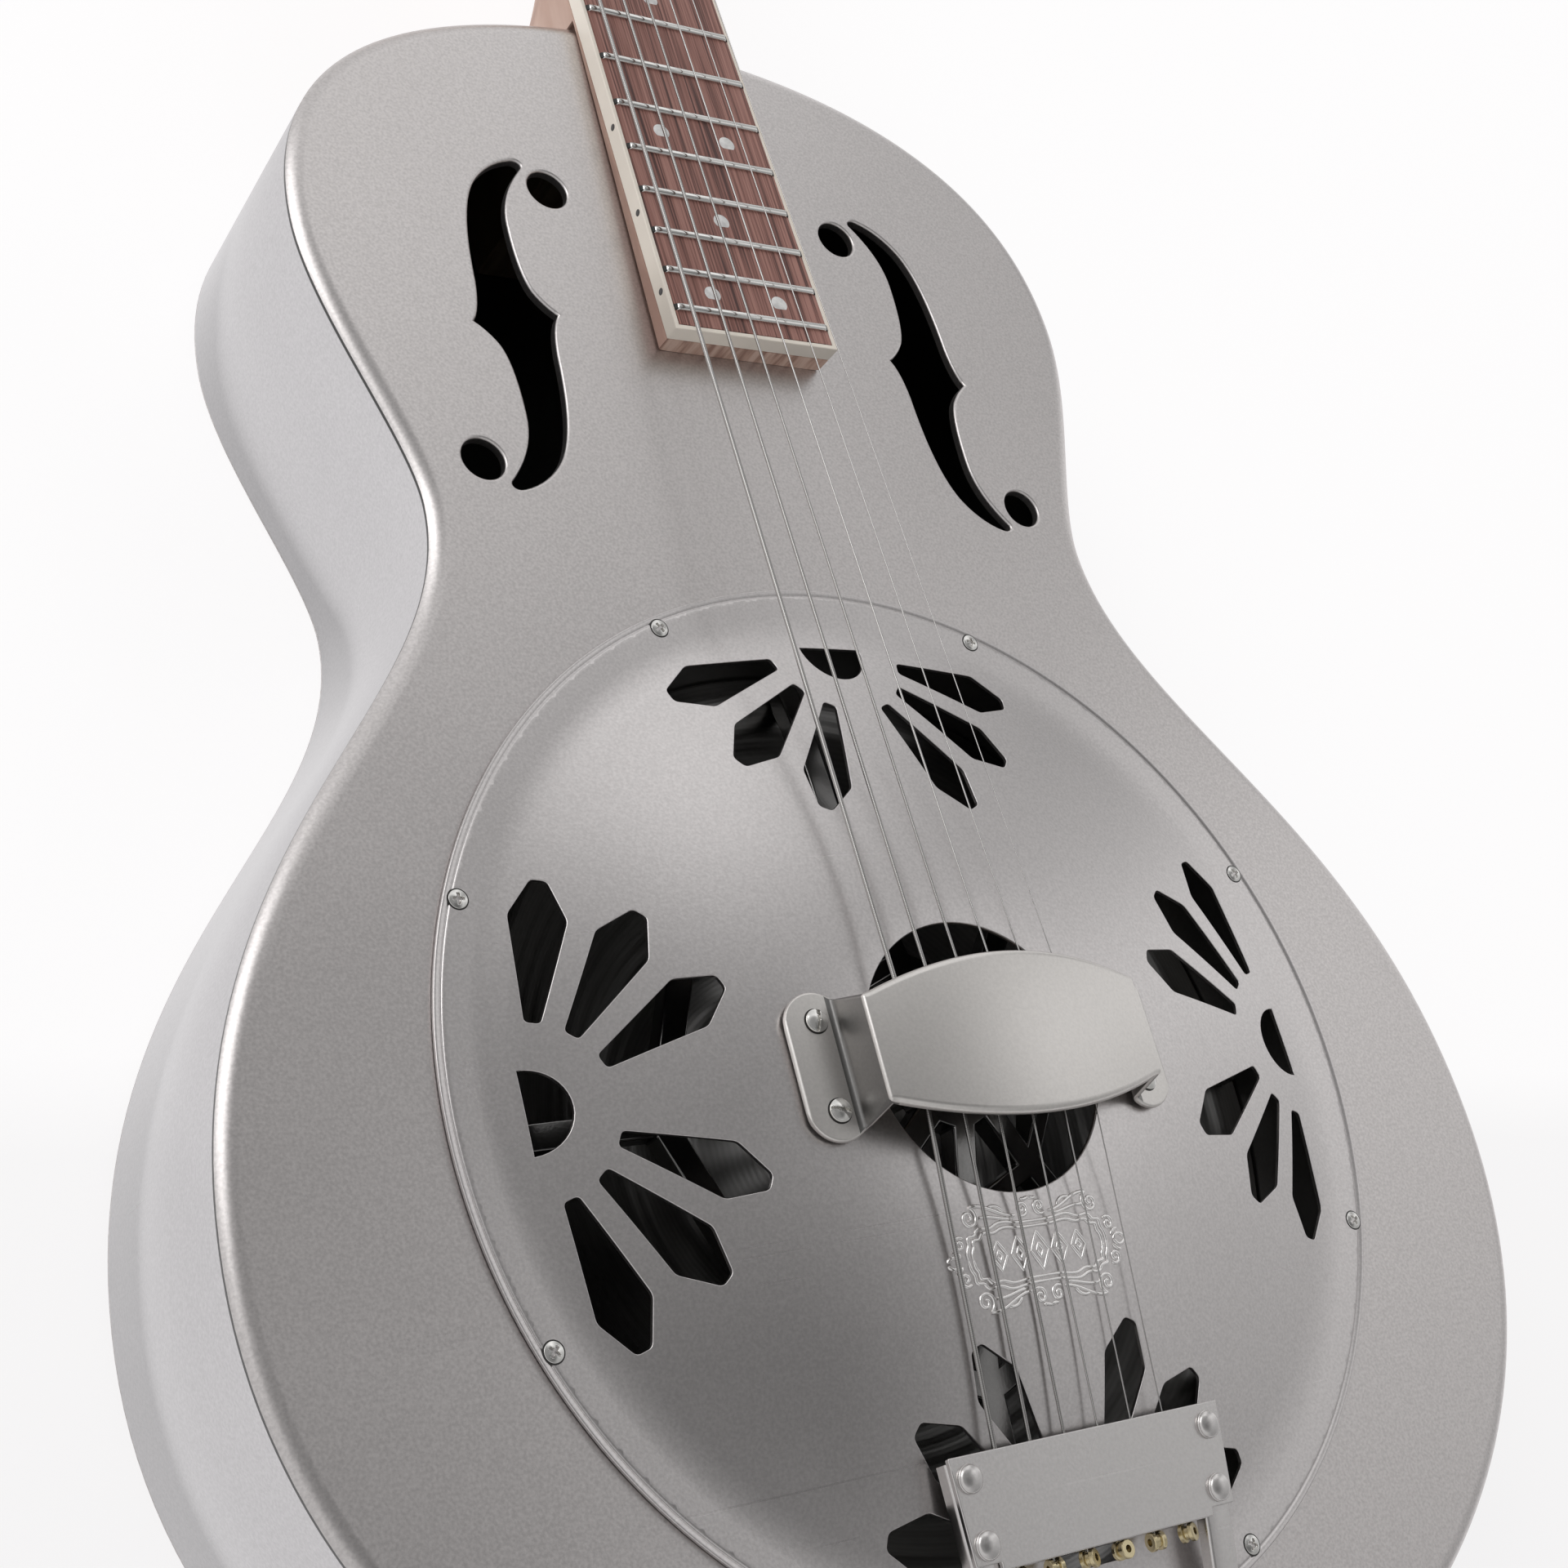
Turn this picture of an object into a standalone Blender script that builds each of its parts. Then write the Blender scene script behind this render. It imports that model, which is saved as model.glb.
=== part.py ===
"""Metal-body resonator guitar with a spider bridge, lying on its back.

The model is in millimetres here and is scaled to metres as each mesh is made. The origin is on the
outside of the back, straight below the middle of the resonator cone. +Z comes out of the top, +Y runs
up the neck and +X is the treble side.
"""
import math

import bmesh
import bpy
from mathutils import Matrix, Vector

MM = 0.001

# Body
BODY_DEPTH = 74.0
SHEET = 1.2
EDGE_RADIUS = 4.0
GAP = 0.3
TOP_Y = 320.0
TAIL_Y = -170.0
UPPER_BOUT = (125.0, 235.0)
WAIST = (105.5, 154.0)
LOWER_BOUT = (185.0, -24.5)
CONE_OPENING_R = 121.5
F_HOLE_CENTRE = (67.9, 212.0)
F_EYE_OFFSET = (19.5, 44.5)
F_EYE_R = 5.9

# Coverplate
COVER_R = 134.2
COVER_RIM_TOP = BODY_DEPTH + GAP + SHEET
DOME_R = 121.0
DOME_HEIGHT = 15.2
DOME_POWER = 1.6
HOLE_R = 33.5
FAN_R = 116.1
PETAL_ANGLES = (-74.0, -49.6, -25.0, 25.0, 49.6, 74.0)
COVER_SCREW_CIRCLE = 130.6
COVER_SCREWS = 8

# Strings and scale
SCALE = 635.0
COMPENSATION = 2.5
FRETS = 19
STRING_RADII = (0.68, 0.53, 0.41, 0.30, 0.21, 0.16)
SADDLE_SPREAD = 50.6
NUT_SPREAD = 35.0
NUT_Y = SCALE + COMPENSATION
NUT_LENGTH = 5.2
SADDLE_Z = COVER_RIM_TOP + 21.7
STRING_OVER_NUT = 2.2

# Neck
BOARD_END_Y = 207.4
BOARD_THICKNESS = 5.2
BOARD_END_TOP = COVER_RIM_TOP + 8.9
BOARD_PLANE_AT_SADDLE = COVER_RIM_TOP + 16.7
BOARD_WIDTH_JOINT = 50.5
BOARD_WIDTH_NUT = 43.0
BINDING = 1.4
FRET_HEIGHT = 1.1
HEAD_ANGLE = math.radians(15.0)
HEAD_THICKNESS = 14.5
HEAD_LENGTH = 172.0
POST_ALONG = (36.0, 74.0, 112.0)
POST_ACROSS = (20.0, 22.0, 24.0)

# Tuning machine
GEAR_TEETH = 14
WORM_PITCH = 2.0
GEAR_R = GEAR_TEETH * WORM_PITCH / (2.0 * math.pi)
WORM_R = 2.2
TOOTH_OUT = 0.5
TOOTH_IN = 0.65
GEAR_HEIGHT = 3.4
GEAR_W = -HEAD_THICKNESS - 4.4
POST_R = 3.1
SHAFT_R = 1.5

# Palm rest and tailpiece
PALM_SHEET = 1.5
PALM_HALF_SPAN = 41.9
PALM_CORNER_Z = COVER_RIM_TOP + 29.7
PALM_RISE = 4.0
PALM_END_HALF_WIDTH = 12.6
PALM_BARREL = 7.2
FOOT_X = 47.0
FOOT_HALF_LENGTH = 9.7
FOOT_R = 8.0
FOOT_SCREW_Y = 10.6
TAIL_FRONT_Y = -87.8
TAIL_LIP_Y = -112.4
TAIL_FRONT_Z = COVER_RIM_TOP + 13.0
TAIL_SLOPE = 0.11
TAIL_SHEET = 1.4
TAIL_STRAP_Y = -154.0
TAIL_BEND_Y = -169.0
TAIL_EDGE_Z = BODY_DEPTH + GAP + SHEET + 0.4
TAB_Y = TAIL_Y - 1.8
TAB_HALF = 20.0
TAB_END_Z = 22.0
RAIL_WIDTH = 8.0
RAIL_FOLD = 5.0
BUTTON_HOLE_R = 3.4

FINISHES = {
    "nickel": ((0.56, 0.54, 0.52), 0.36, 1.0),
    "nickel_cover": ((0.55, 0.54, 0.52), 0.33, 1.0),
    "dark_nickel": ((0.20, 0.19, 0.18), 0.45, 1.0),
    "polished": ((0.68, 0.67, 0.65), 0.18, 1.0),
    "aluminium": ((0.46, 0.46, 0.46), 0.38, 1.0),
    "string_steel": ((0.60, 0.59, 0.57), 0.25, 1.0),
    "rosewood": ((0.17, 0.075, 0.05), 0.55, 0.0),
    "mahogany": ((0.42, 0.24, 0.17), 0.45, 0.0),
    "maple": ((0.62, 0.47, 0.30), 0.55, 0.0),
    "cream": ((0.83, 0.78, 0.66), 0.35, 0.0),
    "bone": ((0.85, 0.82, 0.72), 0.40, 0.0),
    "black": ((0.02, 0.02, 0.02), 0.35, 0.0),
}


# ---------------------------------------------------------------- tools

def clear_scene():
    for item in list(bpy.data.objects):
        bpy.data.objects.remove(item, do_unlink=True)


def finish(name):
    """A Principled material of one of the finishes, made once."""
    if name in bpy.data.materials:
        return bpy.data.materials[name]
    colour, roughness, metallic = FINISHES[name]
    material = bpy.data.materials.new(name)
    material.use_nodes = True
    shader = material.node_tree.nodes["Principled BSDF"]
    shader.inputs["Base Color"].default_value = (*colour, 1.0)
    shader.inputs["Roughness"].default_value = roughness
    shader.inputs["Metallic"].default_value = metallic
    return material


def make_object(name, verts, faces, look, origin=(0.0, 0.0, 0.0)):
    """An object from millimetre points in world space, with its own origin."""
    centre = Vector(origin)
    mesh = bpy.data.meshes.new(name)
    mesh.from_pydata([(Vector(v) - centre) * MM for v in verts], [], faces)
    tidy = bmesh.new()
    tidy.from_mesh(mesh)
    bmesh.ops.recalc_face_normals(tidy, faces=tidy.faces)
    tidy.to_mesh(mesh)
    tidy.free()
    mesh.shade_smooth()
    mesh.set_sharp_from_angle(angle=math.radians(35.0))
    mesh.materials.append(finish(look))
    item = bpy.data.objects.new(name, mesh)
    item.location = centre * MM
    bpy.context.scene.collection.objects.link(item)
    return item


def loft(rings, closed=False):
    """Skin rings of equal length, capped at both ends unless the loft closes on itself."""
    count = len(rings[0])
    verts = [point for ring in rings for point in ring]
    faces = []
    spans = len(rings) if closed else len(rings) - 1
    for i in range(spans):
        a = i * count
        b = ((i + 1) % len(rings)) * count
        for j in range(count):
            k = (j + 1) % count
            faces.append((a + j, a + k, b + k, b + j))
    if not closed:
        faces.append(tuple(range(count)))
        faces.append(tuple(range(len(verts) - count, len(verts))))
    return verts, faces


def merge(parts):
    """One vertex and face list from several closed shapes."""
    verts = []
    faces = []
    for part_verts, part_faces in parts:
        start = len(verts)
        verts.extend(part_verts)
        faces.extend(tuple(index + start for index in face) for face in part_faces)
    return verts, faces


def circle(radius, count, z, centre=(0.0, 0.0)):
    """A level ring of points."""
    turn = 2.0 * math.pi / count
    return [(centre[0] + radius * math.cos(i * turn), centre[1] + radius * math.sin(i * turn), z)
            for i in range(count)]


def turned(profile, count, centre=(0.0, 0.0)):
    """A solid turned about a vertical line, from (radius, z) pairs bottom to top."""
    return loft([circle(radius, count, z, centre) for radius, z in profile])


def turned_ring(profile, count):
    """A ring turned about the Z axis from a closed (radius, z) section."""
    rings = []
    for i in range(count):
        angle = 2.0 * math.pi * i / count
        rings.append([(r * math.cos(angle), r * math.sin(angle), z) for r, z in profile])
    return loft(rings, closed=True)


def prism(outline, low, high):
    """An upright prism over an (x, y) outline."""
    return loft([[(x, y, low) for x, y in outline], [(x, y, high) for x, y in outline]])


def block(low, high):
    """A box between two corners."""
    return prism([(low[0], low[1]), (high[0], low[1]), (high[0], high[1]), (low[0], high[1])],
                 low[2], high[2])


def listed(mesh):
    """A bmesh as vertex and face lists. The bmesh is freed."""
    mesh.verts.index_update()
    verts = [tuple(v.co) for v in mesh.verts]
    faces = [tuple(v.index for v in face.verts) for face in mesh.faces]
    mesh.free()
    return verts, faces


def placed(shape, matrix):
    """A vertex and face list moved by a matrix."""
    verts, faces = shape
    return [matrix @ Vector(v) for v in verts], faces


def cut(item, shape, name):
    """Cut a shape out of an object with an exact Boolean."""
    combine(item, shape, name, "DIFFERENCE")


def combine(item, shape, name, operation):
    verts, faces = shape
    tool = make_object(name, verts, faces, "black")
    tool.hide_render = True
    tool.display_type = "WIRE"
    modifier = item.modifiers.new(name, "BOOLEAN")
    modifier.operation = operation
    modifier.solver = "EXACT"
    modifier.object = tool


def bezier(start, first, second, end, count):
    """Points along a cubic curve, without its last one."""
    points = []
    for i in range(count):
        t = i / count
        s = 1.0 - t
        points.append(tuple(s ** 3 * a + 3 * s * s * t * b + 3 * s * t * t * c + t ** 3 * d
                            for a, b, c, d in zip(start, first, second, end)))
    return points


# ---------------------------------------------------------------- body

def half_outline(count):
    """The treble half of the body's outline, from the neck joint to the tail."""
    ux, uy = UPPER_BOUT
    wx, wy = WAIST
    lx, ly = LOWER_BOUT
    points = bezier((0.0, TOP_Y), (48.9, TOP_Y), (ux, uy + 70.0), (ux, uy), count)
    points += bezier((ux, uy), (ux, uy - 27.0), (wx, wy + 19.0), (wx, wy), count)
    points += bezier((wx, wy), (wx, wy - 54.0), (lx, ly + 93.0), (lx, ly), count)
    points += bezier((lx, ly), (lx, ly - 88.0), (97.0, TAIL_Y), (0.0, TAIL_Y), count)
    return points + [(0.0, TAIL_Y)]


def body_outline(offset, z, count=8):
    """The body's closed outline, moved inwards by an offset."""
    half = half_outline(count)
    points = half + [(-x, y) for x, y in reversed(half[1:-1])]
    ring = []
    for i, (x, y) in enumerate(points):
        ahead = points[(i + 1) % len(points)]
        behind = points[i - 1]
        run = Vector((ahead[0] - behind[0], ahead[1] - behind[1])).normalized()
        ring.append((x + run.y * offset, y - run.x * offset, z))
    return ring


def tray(base, direction):
    """A plate with a rolled edge: base is the open side's height, direction is +1 for the top."""
    rings = []
    for angle in (90.0, 45.0, 0.0):
        turn = math.radians(angle)
        inset = EDGE_RADIUS * (1.0 - math.cos(turn))
        rings.append(body_outline(inset, base + direction * EDGE_RADIUS * math.sin(turn)))
    inner = EDGE_RADIUS - SHEET
    for angle in (0.0, 90.0):
        turn = math.radians(angle)
        inset = SHEET + inner * (1.0 - math.cos(turn))
        rings.append(body_outline(inset, base + direction * inner * math.sin(turn)))
    return loft(rings)


def f_hole_outline():
    """One f-hole about its own centre: half of it, then the same turned half a turn."""
    half = bezier((-12.8, -2.7), (-10.8, 0.0), (-9.9, 5.0), (-9.5, 10.0), 2)
    half += bezier((-9.5, 10.0), (-9.2, 20.0), (-8.2, 32.0), (-4.5, 40.0), 4)
    half += bezier((-4.5, 40.0), (-2.2, 45.3), (3.5, 50.6), (9.5, 52.3), 3)
    half += bezier((9.5, 52.3), (11.5, 53.0), (13.3, 52.2), (12.8, 50.6), 2)
    half += bezier((12.8, 50.6), (9.3, 46.5), (4.0, 39.5), (3.9, 30.0), 4)
    half += bezier((3.9, 30.0), (3.8, 22.0), (4.3, 14.0), (6.5, 9.5), 3)
    half += bezier((6.5, 9.5), (8.2, 6.6), (10.6, 4.2), (12.8, 2.7), 2)
    return half + [(-x, -y) for x, y in half]


def top_openings():
    """The cutters for the cone opening, the f-holes with their eyes and the screw holes."""
    low = BODY_DEPTH - 6.0
    high = BODY_DEPTH + 2.0
    cx, cy = F_HOLE_CENTRE
    ex, ey = F_EYE_OFFSET
    shapes = [turned([(CONE_OPENING_R, low), (CONE_OPENING_R, high)], 48)]
    for side in (-1.0, 1.0):
        outline = [(side * (cx - x), cy + y) for x, y in f_hole_outline()]
        shapes.append(prism(outline, low, high))
        for end in (-1.0, 1.0):
            eye = (side * (cx - end * ex), cy + end * ey)
            shapes.append(turned([(F_EYE_R, low), (F_EYE_R, high)], 16, eye))
    shapes += cover_screw_holes(low, high)
    return merge(shapes)


def build_body():
    top = make_object("body_top", *tray(BODY_DEPTH - EDGE_RADIUS, 1.0), "nickel")
    cut(top, top_openings(), "top_openings")
    make_object("body_back", *tray(EDGE_RADIUS, -1.0), "nickel")
    low = EDGE_RADIUS + GAP
    high = BODY_DEPTH - EDGE_RADIUS - GAP
    rings = [body_outline(0.0, low), body_outline(0.0, high),
             body_outline(SHEET, high), body_outline(SHEET, low)]
    make_object("body_sides", *loft(rings, closed=True), "nickel")
    floor = SHEET + GAP
    roof = BODY_DEPTH - SHEET - GAP
    make_object("neck_block", *block((-30.0, 284.0, floor), (30.0, 314.0, roof)), "maple")
    make_object("tail_block", *block((-26.0, -164.0, floor), (26.0, -146.0, roof)), "maple")


def build_sound_well():
    roof = BODY_DEPTH - SHEET - GAP
    ledge = 49.0
    inner = CONE_OPENING_R + 0.1
    section = [(inner, roof), (inner + 7.0, roof), (inner + 7.0, roof - 1.0), (inner + 1.0, roof - 1.0),
               (inner + 1.0, ledge - 1.0), (113.6, ledge - 1.0), (113.6, ledge), (inner, ledge)]
    make_object("sound_well", *turned_ring(section, 40), "dark_nickel")


def build_cone():
    """A spun bowl on a flat lip, with a small cone rising in its middle to the tension screw."""
    face = [(120.9, 49.9), (112.5, 49.9), (107.0, 46.5), (60.0, 17.5), (52.0, 14.4), (44.0, 16.5),
            (11.0, 47.5), (2.6, 48.2)]
    back = [(2.6, 47.4), (10.4, 46.6), (43.5, 15.5), (52.0, 13.4), (60.4, 16.5), (107.6, 45.5),
            (113.0, 49.3), (120.9, 49.3)]
    make_object("resonator_cone", *turned_ring(face + back, 36), "aluminium")


def build_spider():
    """Eight legs on a round hub, tied by an inner and an outer octagon, standing on the cone's lip."""
    stations = [(13.0, 76.5, 70.0), (28.5, 70.5, 65.0), (33.5, 70.0, 64.0), (67.5, 60.5, 54.5),
                (74.5, 59.5, 53.5), (104.0, 57.5, 52.0), (110.0, 56.5, 50.4), (117.0, 55.0, 50.4)]
    half = 3.4
    legs = 8
    mesh = bmesh.new()
    top = {}
    drop = {}
    for leg in range(legs):
        turn = Matrix.Rotation(2.0 * math.pi * leg / legs, 3, "Z")
        for station, (radius, high, low) in enumerate(stations):
            level = leg % 4 == 0 and station in (1, 2)
            for side in (-1, 1):
                point = turn @ Vector((radius, side * half, 76.5 if level else high))
                vert = mesh.verts.new(point)
                top[leg, station, side] = vert
                drop[vert] = low
    inner = []
    for i in range(2 * legs):
        angle = 2.0 * math.pi * (i - 0.5) / (2 * legs)
        vert = mesh.verts.new((2.7 * math.cos(angle), 2.7 * math.sin(angle), 76.5))
        drop[vert] = 70.0
        inner.append(vert)
    for leg in range(legs):
        following = (leg + 1) % legs
        for station in range(len(stations) - 1):
            mesh.faces.new((top[leg, station, -1], top[leg, station + 1, -1],
                            top[leg, station + 1, 1], top[leg, station, 1]))
        for station in (1, 3):
            mesh.faces.new((top[leg, station, 1], top[leg, station + 1, 1],
                            top[following, station + 1, -1], top[following, station, -1]))
        near = (inner[2 * leg], inner[2 * leg + 1], inner[(2 * leg + 2) % (2 * legs)])
        mesh.faces.new((near[0], top[leg, 0, -1], top[leg, 0, 1], near[1]))
        mesh.faces.new((near[1], top[leg, 0, 1], top[following, 0, -1], near[2]))
    upper = list(mesh.faces)
    source = {tuple(round(c, 4) for c in v.co.xy): low for v, low in drop.items()}
    copied = bmesh.ops.extrude_face_region(mesh, geom=upper)
    for element in copied["geom"]:
        if isinstance(element, bmesh.types.BMVert):
            element.co.z = source[tuple(round(c, 4) for c in element.co.xy)]
    make_object("spider", *listed(mesh), "dark_nickel")


def build_saddle():
    low = 76.8
    high = SADDLE_Z - STRING_RADII[0] - GAP
    make_object("saddle_bass", *block((-28.0, -1.5, low), (-4.3, 1.5, high)), "maple")
    make_object("saddle_treble", *block((4.3, -1.5, low), (28.0, 1.5, high)), "maple")
    profile = [(2.0, 42.0), (2.0, 76.8), (3.7, 76.8), (3.7, 78.6), (2.6, 79.4)]
    make_object("tension_screw", *turned(profile, 12), "polished")


# ---------------------------------------------------------------- coverplate

def dome(radius):
    """How far the coverplate stands above its rim at a radius."""
    share = (DOME_R - radius) / (DOME_R - HOLE_R)
    share = min(max(share, 0.0), 1.0)
    return DOME_HEIGHT * (1.0 - (1.0 - share) ** DOME_POWER)


def petal(angle):
    """One petal's outline about its fan's centre, pointing along -X when the angle is 0."""
    points = ((20.5, 1.75), (45.8, 6.6), (55.3, 1.8), (55.3, -1.8), (45.8, -6.6), (20.5, -1.75))
    turn = math.radians(180.0 - angle)
    return [(r * math.cos(turn) - s * math.sin(turn), r * math.sin(turn) + s * math.cos(turn))
            for r, s in points]


def d_hole():
    """A half-round hole about its fan's centre, bulging along -X."""
    steps = 8
    return [(-10.2 * math.sin(math.pi * i / steps), 9.5 * math.cos(math.pi * i / steps))
            for i in range(steps + 1)]


def fan_cutters(low, high):
    shapes = []
    for quarter in range(4):
        turn = Matrix.Rotation(quarter * math.pi / 2.0, 3, "Z")
        for outline in [petal(angle) for angle in PETAL_ANGLES] + [d_hole()]:
            ring = [turn @ Vector((FAN_R + x, y, 0.0)) for x, y in outline]
            shapes.append(prism([(p.x, p.y) for p in ring], low, high))
    return shapes


def cover_screw_places():
    step = 2.0 * math.pi / COVER_SCREWS
    return [(COVER_SCREW_CIRCLE * math.cos((i + 0.5) * step), COVER_SCREW_CIRCLE * math.sin((i + 0.5) * step))
            for i in range(COVER_SCREWS)]


def palm_screw_places():
    return [(x, y) for x in (-FOOT_X, FOOT_X) for y in (-FOOT_SCREW_Y, FOOT_SCREW_Y)]


def cover_screw_holes(low, high):
    return [turned([(1.6, low), (1.6, high)], 6, place) for place in cover_screw_places()]


def build_coverplate():
    radii = [HOLE_R, 48.0, 66.0, 88.0, 106.0, DOME_R]
    face = [(r, COVER_RIM_TOP + dome(r)) for r in radii] + [(COVER_R, COVER_RIM_TOP)]
    back = [(r, z - SHEET) for r, z in reversed(face)]
    cover = make_object("coverplate", *turned_ring(face + back, 48), "nickel_cover")
    low = COVER_RIM_TOP - 4.0
    high = COVER_RIM_TOP + 24.0
    shapes = fan_cutters(low, high) + cover_screw_holes(low, high)
    shapes += [turned([(1.7, low), (1.7, high)], 6, place) for place in palm_screw_places()]
    cut(cover, merge(shapes), "cover_openings")


def build_cover_screws():
    for i, place in enumerate(cover_screw_places()):
        low = COVER_RIM_TOP + GAP
        profile = [(1.1, BODY_DEPTH - 5.0), (1.1, low), (2.4, low), (2.4, low + 0.5), (1.5, low + 1.3)]
        make_object("coverplate_screw_%d" % (i + 1), *turned(profile, 8, place), "polished")


# ---------------------------------------------------------------- palm rest

def foot_height(x):
    """Underside of the palm rest's foot: it follows the dome's slope there."""
    slope = (dome(FOOT_X + 4.0) - dome(FOOT_X - 4.0)) / 8.0
    return COVER_RIM_TOP + dome(FOOT_X) + 0.7 + slope * (abs(x) - FOOT_X)


def palm_path():
    """Half of the palm rest's middle line, as (x, z, half width), from the foot's end to the crown."""
    points = []
    for step in (-1.0, -0.85, -0.5, 0.0, 0.5):
        x = FOOT_X - step * FOOT_R
        half = FOOT_HALF_LENGTH + FOOT_R * math.sqrt(1.0 - step * step)
        points.append((x, foot_height(x) + PALM_SHEET / 2.0, half))
    points.append((PALM_HALF_SPAN - 0.4, foot_height(PALM_HALF_SPAN) + PALM_SHEET / 2.0, PALM_END_HALF_WIDTH))
    for share in (0.0, 0.12, 0.4, 0.7, 1.0):
        x = PALM_HALF_SPAN * (1.0 - share)
        bow = 1.0 - (1.0 - share) ** 2
        points.append((x, PALM_CORNER_Z + PALM_RISE * bow - PALM_SHEET / 2.0,
                       PALM_END_HALF_WIDTH + PALM_BARREL * bow))
    return points


def build_palm_rest():
    half = palm_path()
    path = half + [(-x, z, w) for x, z, w in reversed(half[:-1])]
    rings = []
    for i, (x, z, w) in enumerate(path):
        ahead = path[min(i + 1, len(path) - 1)]
        behind = path[max(i - 1, 0)]
        into = Vector((x - behind[0], z - behind[1]))
        out = Vector((ahead[0] - x, ahead[1] - z))
        into = into.normalized() if into.length > 0.0 else out.normalized()
        out = out.normalized() if out.length > 0.0 else into
        along = (into + out).normalized()
        reach = PALM_SHEET / 2.0 / max(along.dot(into), 0.5)
        nx, nz = along.y * reach, -along.x * reach
        rings.append([(x + nx, -w, z + nz), (x + nx, w, z + nz), (x - nx, w, z - nz), (x - nx, -w, z - nz)])
    rest = make_object("palm_rest", *loft(rings), "nickel_cover")
    low = COVER_RIM_TOP + 8.0
    holes = [turned([(1.7, low), (1.7, low + 12.0)], 8, place) for place in palm_screw_places()]
    cut(rest, merge(holes), "palm_rest_holes")
    names = ("bass_tail", "bass_neck", "treble_tail", "treble_neck")
    for name, place in zip(names, palm_screw_places()):
        seat = foot_height(FOOT_X) + PALM_SHEET + 0.4
        profile = [(1.2, seat - 7.0), (1.2, seat), (2.75, seat), (2.75, seat + 0.9), (1.6, seat + 1.7)]
        make_object("palm_screw_" + name, *turned(profile, 10, place), "polished")


# ---------------------------------------------------------------- tailpiece

def tail_width(y):
    """Outer half width of the tailpiece's cross plate along its taper."""
    return 40.4 + 0.08 * (y - TAIL_FRONT_Y)


def tail_height(y):
    """Height of the cross plate's top face."""
    return TAIL_FRONT_Z + TAIL_SLOPE * (y - TAIL_FRONT_Y)


def string_x(number, spread):
    return spread * (number / 5.0 - 0.5)


def rivet_places():
    return [(side * (tail_width(y) - 4.2), y) for side in (-1.0, 1.0) for y in (-92.8, -106.7)]


def rivet_holes(radius):
    low = tail_height(TAIL_LIP_Y) - 12.0
    return merge([turned([(radius, low), (radius, low + 20.0)], 6, place) for place in rivet_places()])


def add_sheet(name, verts, faces, thickness, look):
    """A folded sheet: a surface that Solidify thickens downwards."""
    item = make_object(name, verts, faces, look)
    solid = item.modifiers.new("thickness", "SOLIDIFY")
    solid.thickness = thickness * MM
    solid.offset = -1.0
    solid.use_even_offset = True
    return item


def build_cross_plate():
    """A flat plate whose rear lip is folded down between six string slots."""
    edges = [-tail_width(TAIL_LIP_Y)]
    for number in range(6):
        x = string_x(number, SADDLE_SPREAD)
        edges += [x - 1.1, x + 1.1]
    edges.append(tail_width(TAIL_LIP_Y))
    verts = []
    faces = []
    wide = tail_width(TAIL_FRONT_Y) / tail_width(TAIL_LIP_Y)
    for x in edges:
        verts.append((x * wide, TAIL_FRONT_Y, tail_height(TAIL_FRONT_Y)))
        verts.append((x, TAIL_LIP_Y, tail_height(TAIL_LIP_Y)))
        verts.append((x, TAIL_LIP_Y - 0.3, tail_height(TAIL_LIP_Y) - 6.0))
    for i in range(len(edges) - 1):
        a = 3 * i
        b = a + 3
        faces.append((a, a + 1, b + 1, b))
        if i % 2 == 0 and 0 < i < len(edges) - 2:
            faces.append((a + 1, a + 2, b + 2, b + 1))
    plate = add_sheet("tailpiece_cross_plate", verts, faces, TAIL_SHEET, "nickel_cover")
    cut(plate, rivet_holes(1.6), "cross_plate_holes")


def frame_height(y):
    """Height of the frame's top face: under the cross plate, then down to the body's tail edge."""
    front = tail_height(TAIL_LIP_Y) - TAIL_SHEET - GAP
    if y > TAIL_LIP_Y:
        return tail_height(y) - TAIL_SHEET - GAP
    return front + (TAIL_EDGE_Z - front) * (y - TAIL_LIP_Y) / (TAIL_BEND_Y - TAIL_LIP_Y)


def build_tail_frame():
    """Two rails with folded edges, joined by a strap whose tab turns down over the tail."""
    mesh = bmesh.new()
    rows = []
    for y in (TAIL_FRONT_Y - 1.0, TAIL_LIP_Y, -132.0, TAIL_STRAP_Y, TAIL_BEND_Y):
        outer = tail_width(y)
        inner = outer - RAIL_WIDTH
        z = frame_height(y)
        folded = z - min(RAIL_FOLD, z - BODY_DEPTH - 1.0)
        places = [(-outer, folded), (-outer, z), (-inner, z), (-TAB_HALF, z), (TAB_HALF, z), (inner, z),
                  (outer, z), (outer, folded)]
        rows.append([mesh.verts.new((x, y, level)) for x, level in places])
    for near, far in zip(rows, rows[1:]):
        strap = far is rows[-1]
        for j in range(7) if strap else (0, 1, 5, 6):
            mesh.faces.new((near[j], near[j + 1], far[j + 1], far[j]))
    edge = rows[-1][3:5]
    for z in (BODY_DEPTH - 1.6, TAB_END_Z):
        below = [mesh.verts.new((x, TAB_Y, z)) for x in (-TAB_HALF, TAB_HALF)]
        mesh.faces.new((edge[0], edge[1], below[1], below[0]))
        edge = below
    loose = [vert for vert in mesh.verts if not vert.link_faces]
    bmesh.ops.delete(mesh, geom=loose, context="VERTS")
    frame = add_sheet("tailpiece_frame", *listed(mesh), SHEET, "nickel_cover")
    hole = placed(turned([(BUTTON_HOLE_R, -6.0), (BUTTON_HOLE_R, 6.0)], 12), button_frame())
    cut(frame, merge([rivet_holes(1.6), hole]), "tail_frame_holes")


def button_frame():
    """Strap button's frame: Z points away from the tail."""
    return Matrix.Translation((0.0, TAIL_Y, BODY_DEPTH / 2.0)) @ Matrix.Rotation(math.pi / 2.0, 4, "X")


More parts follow.
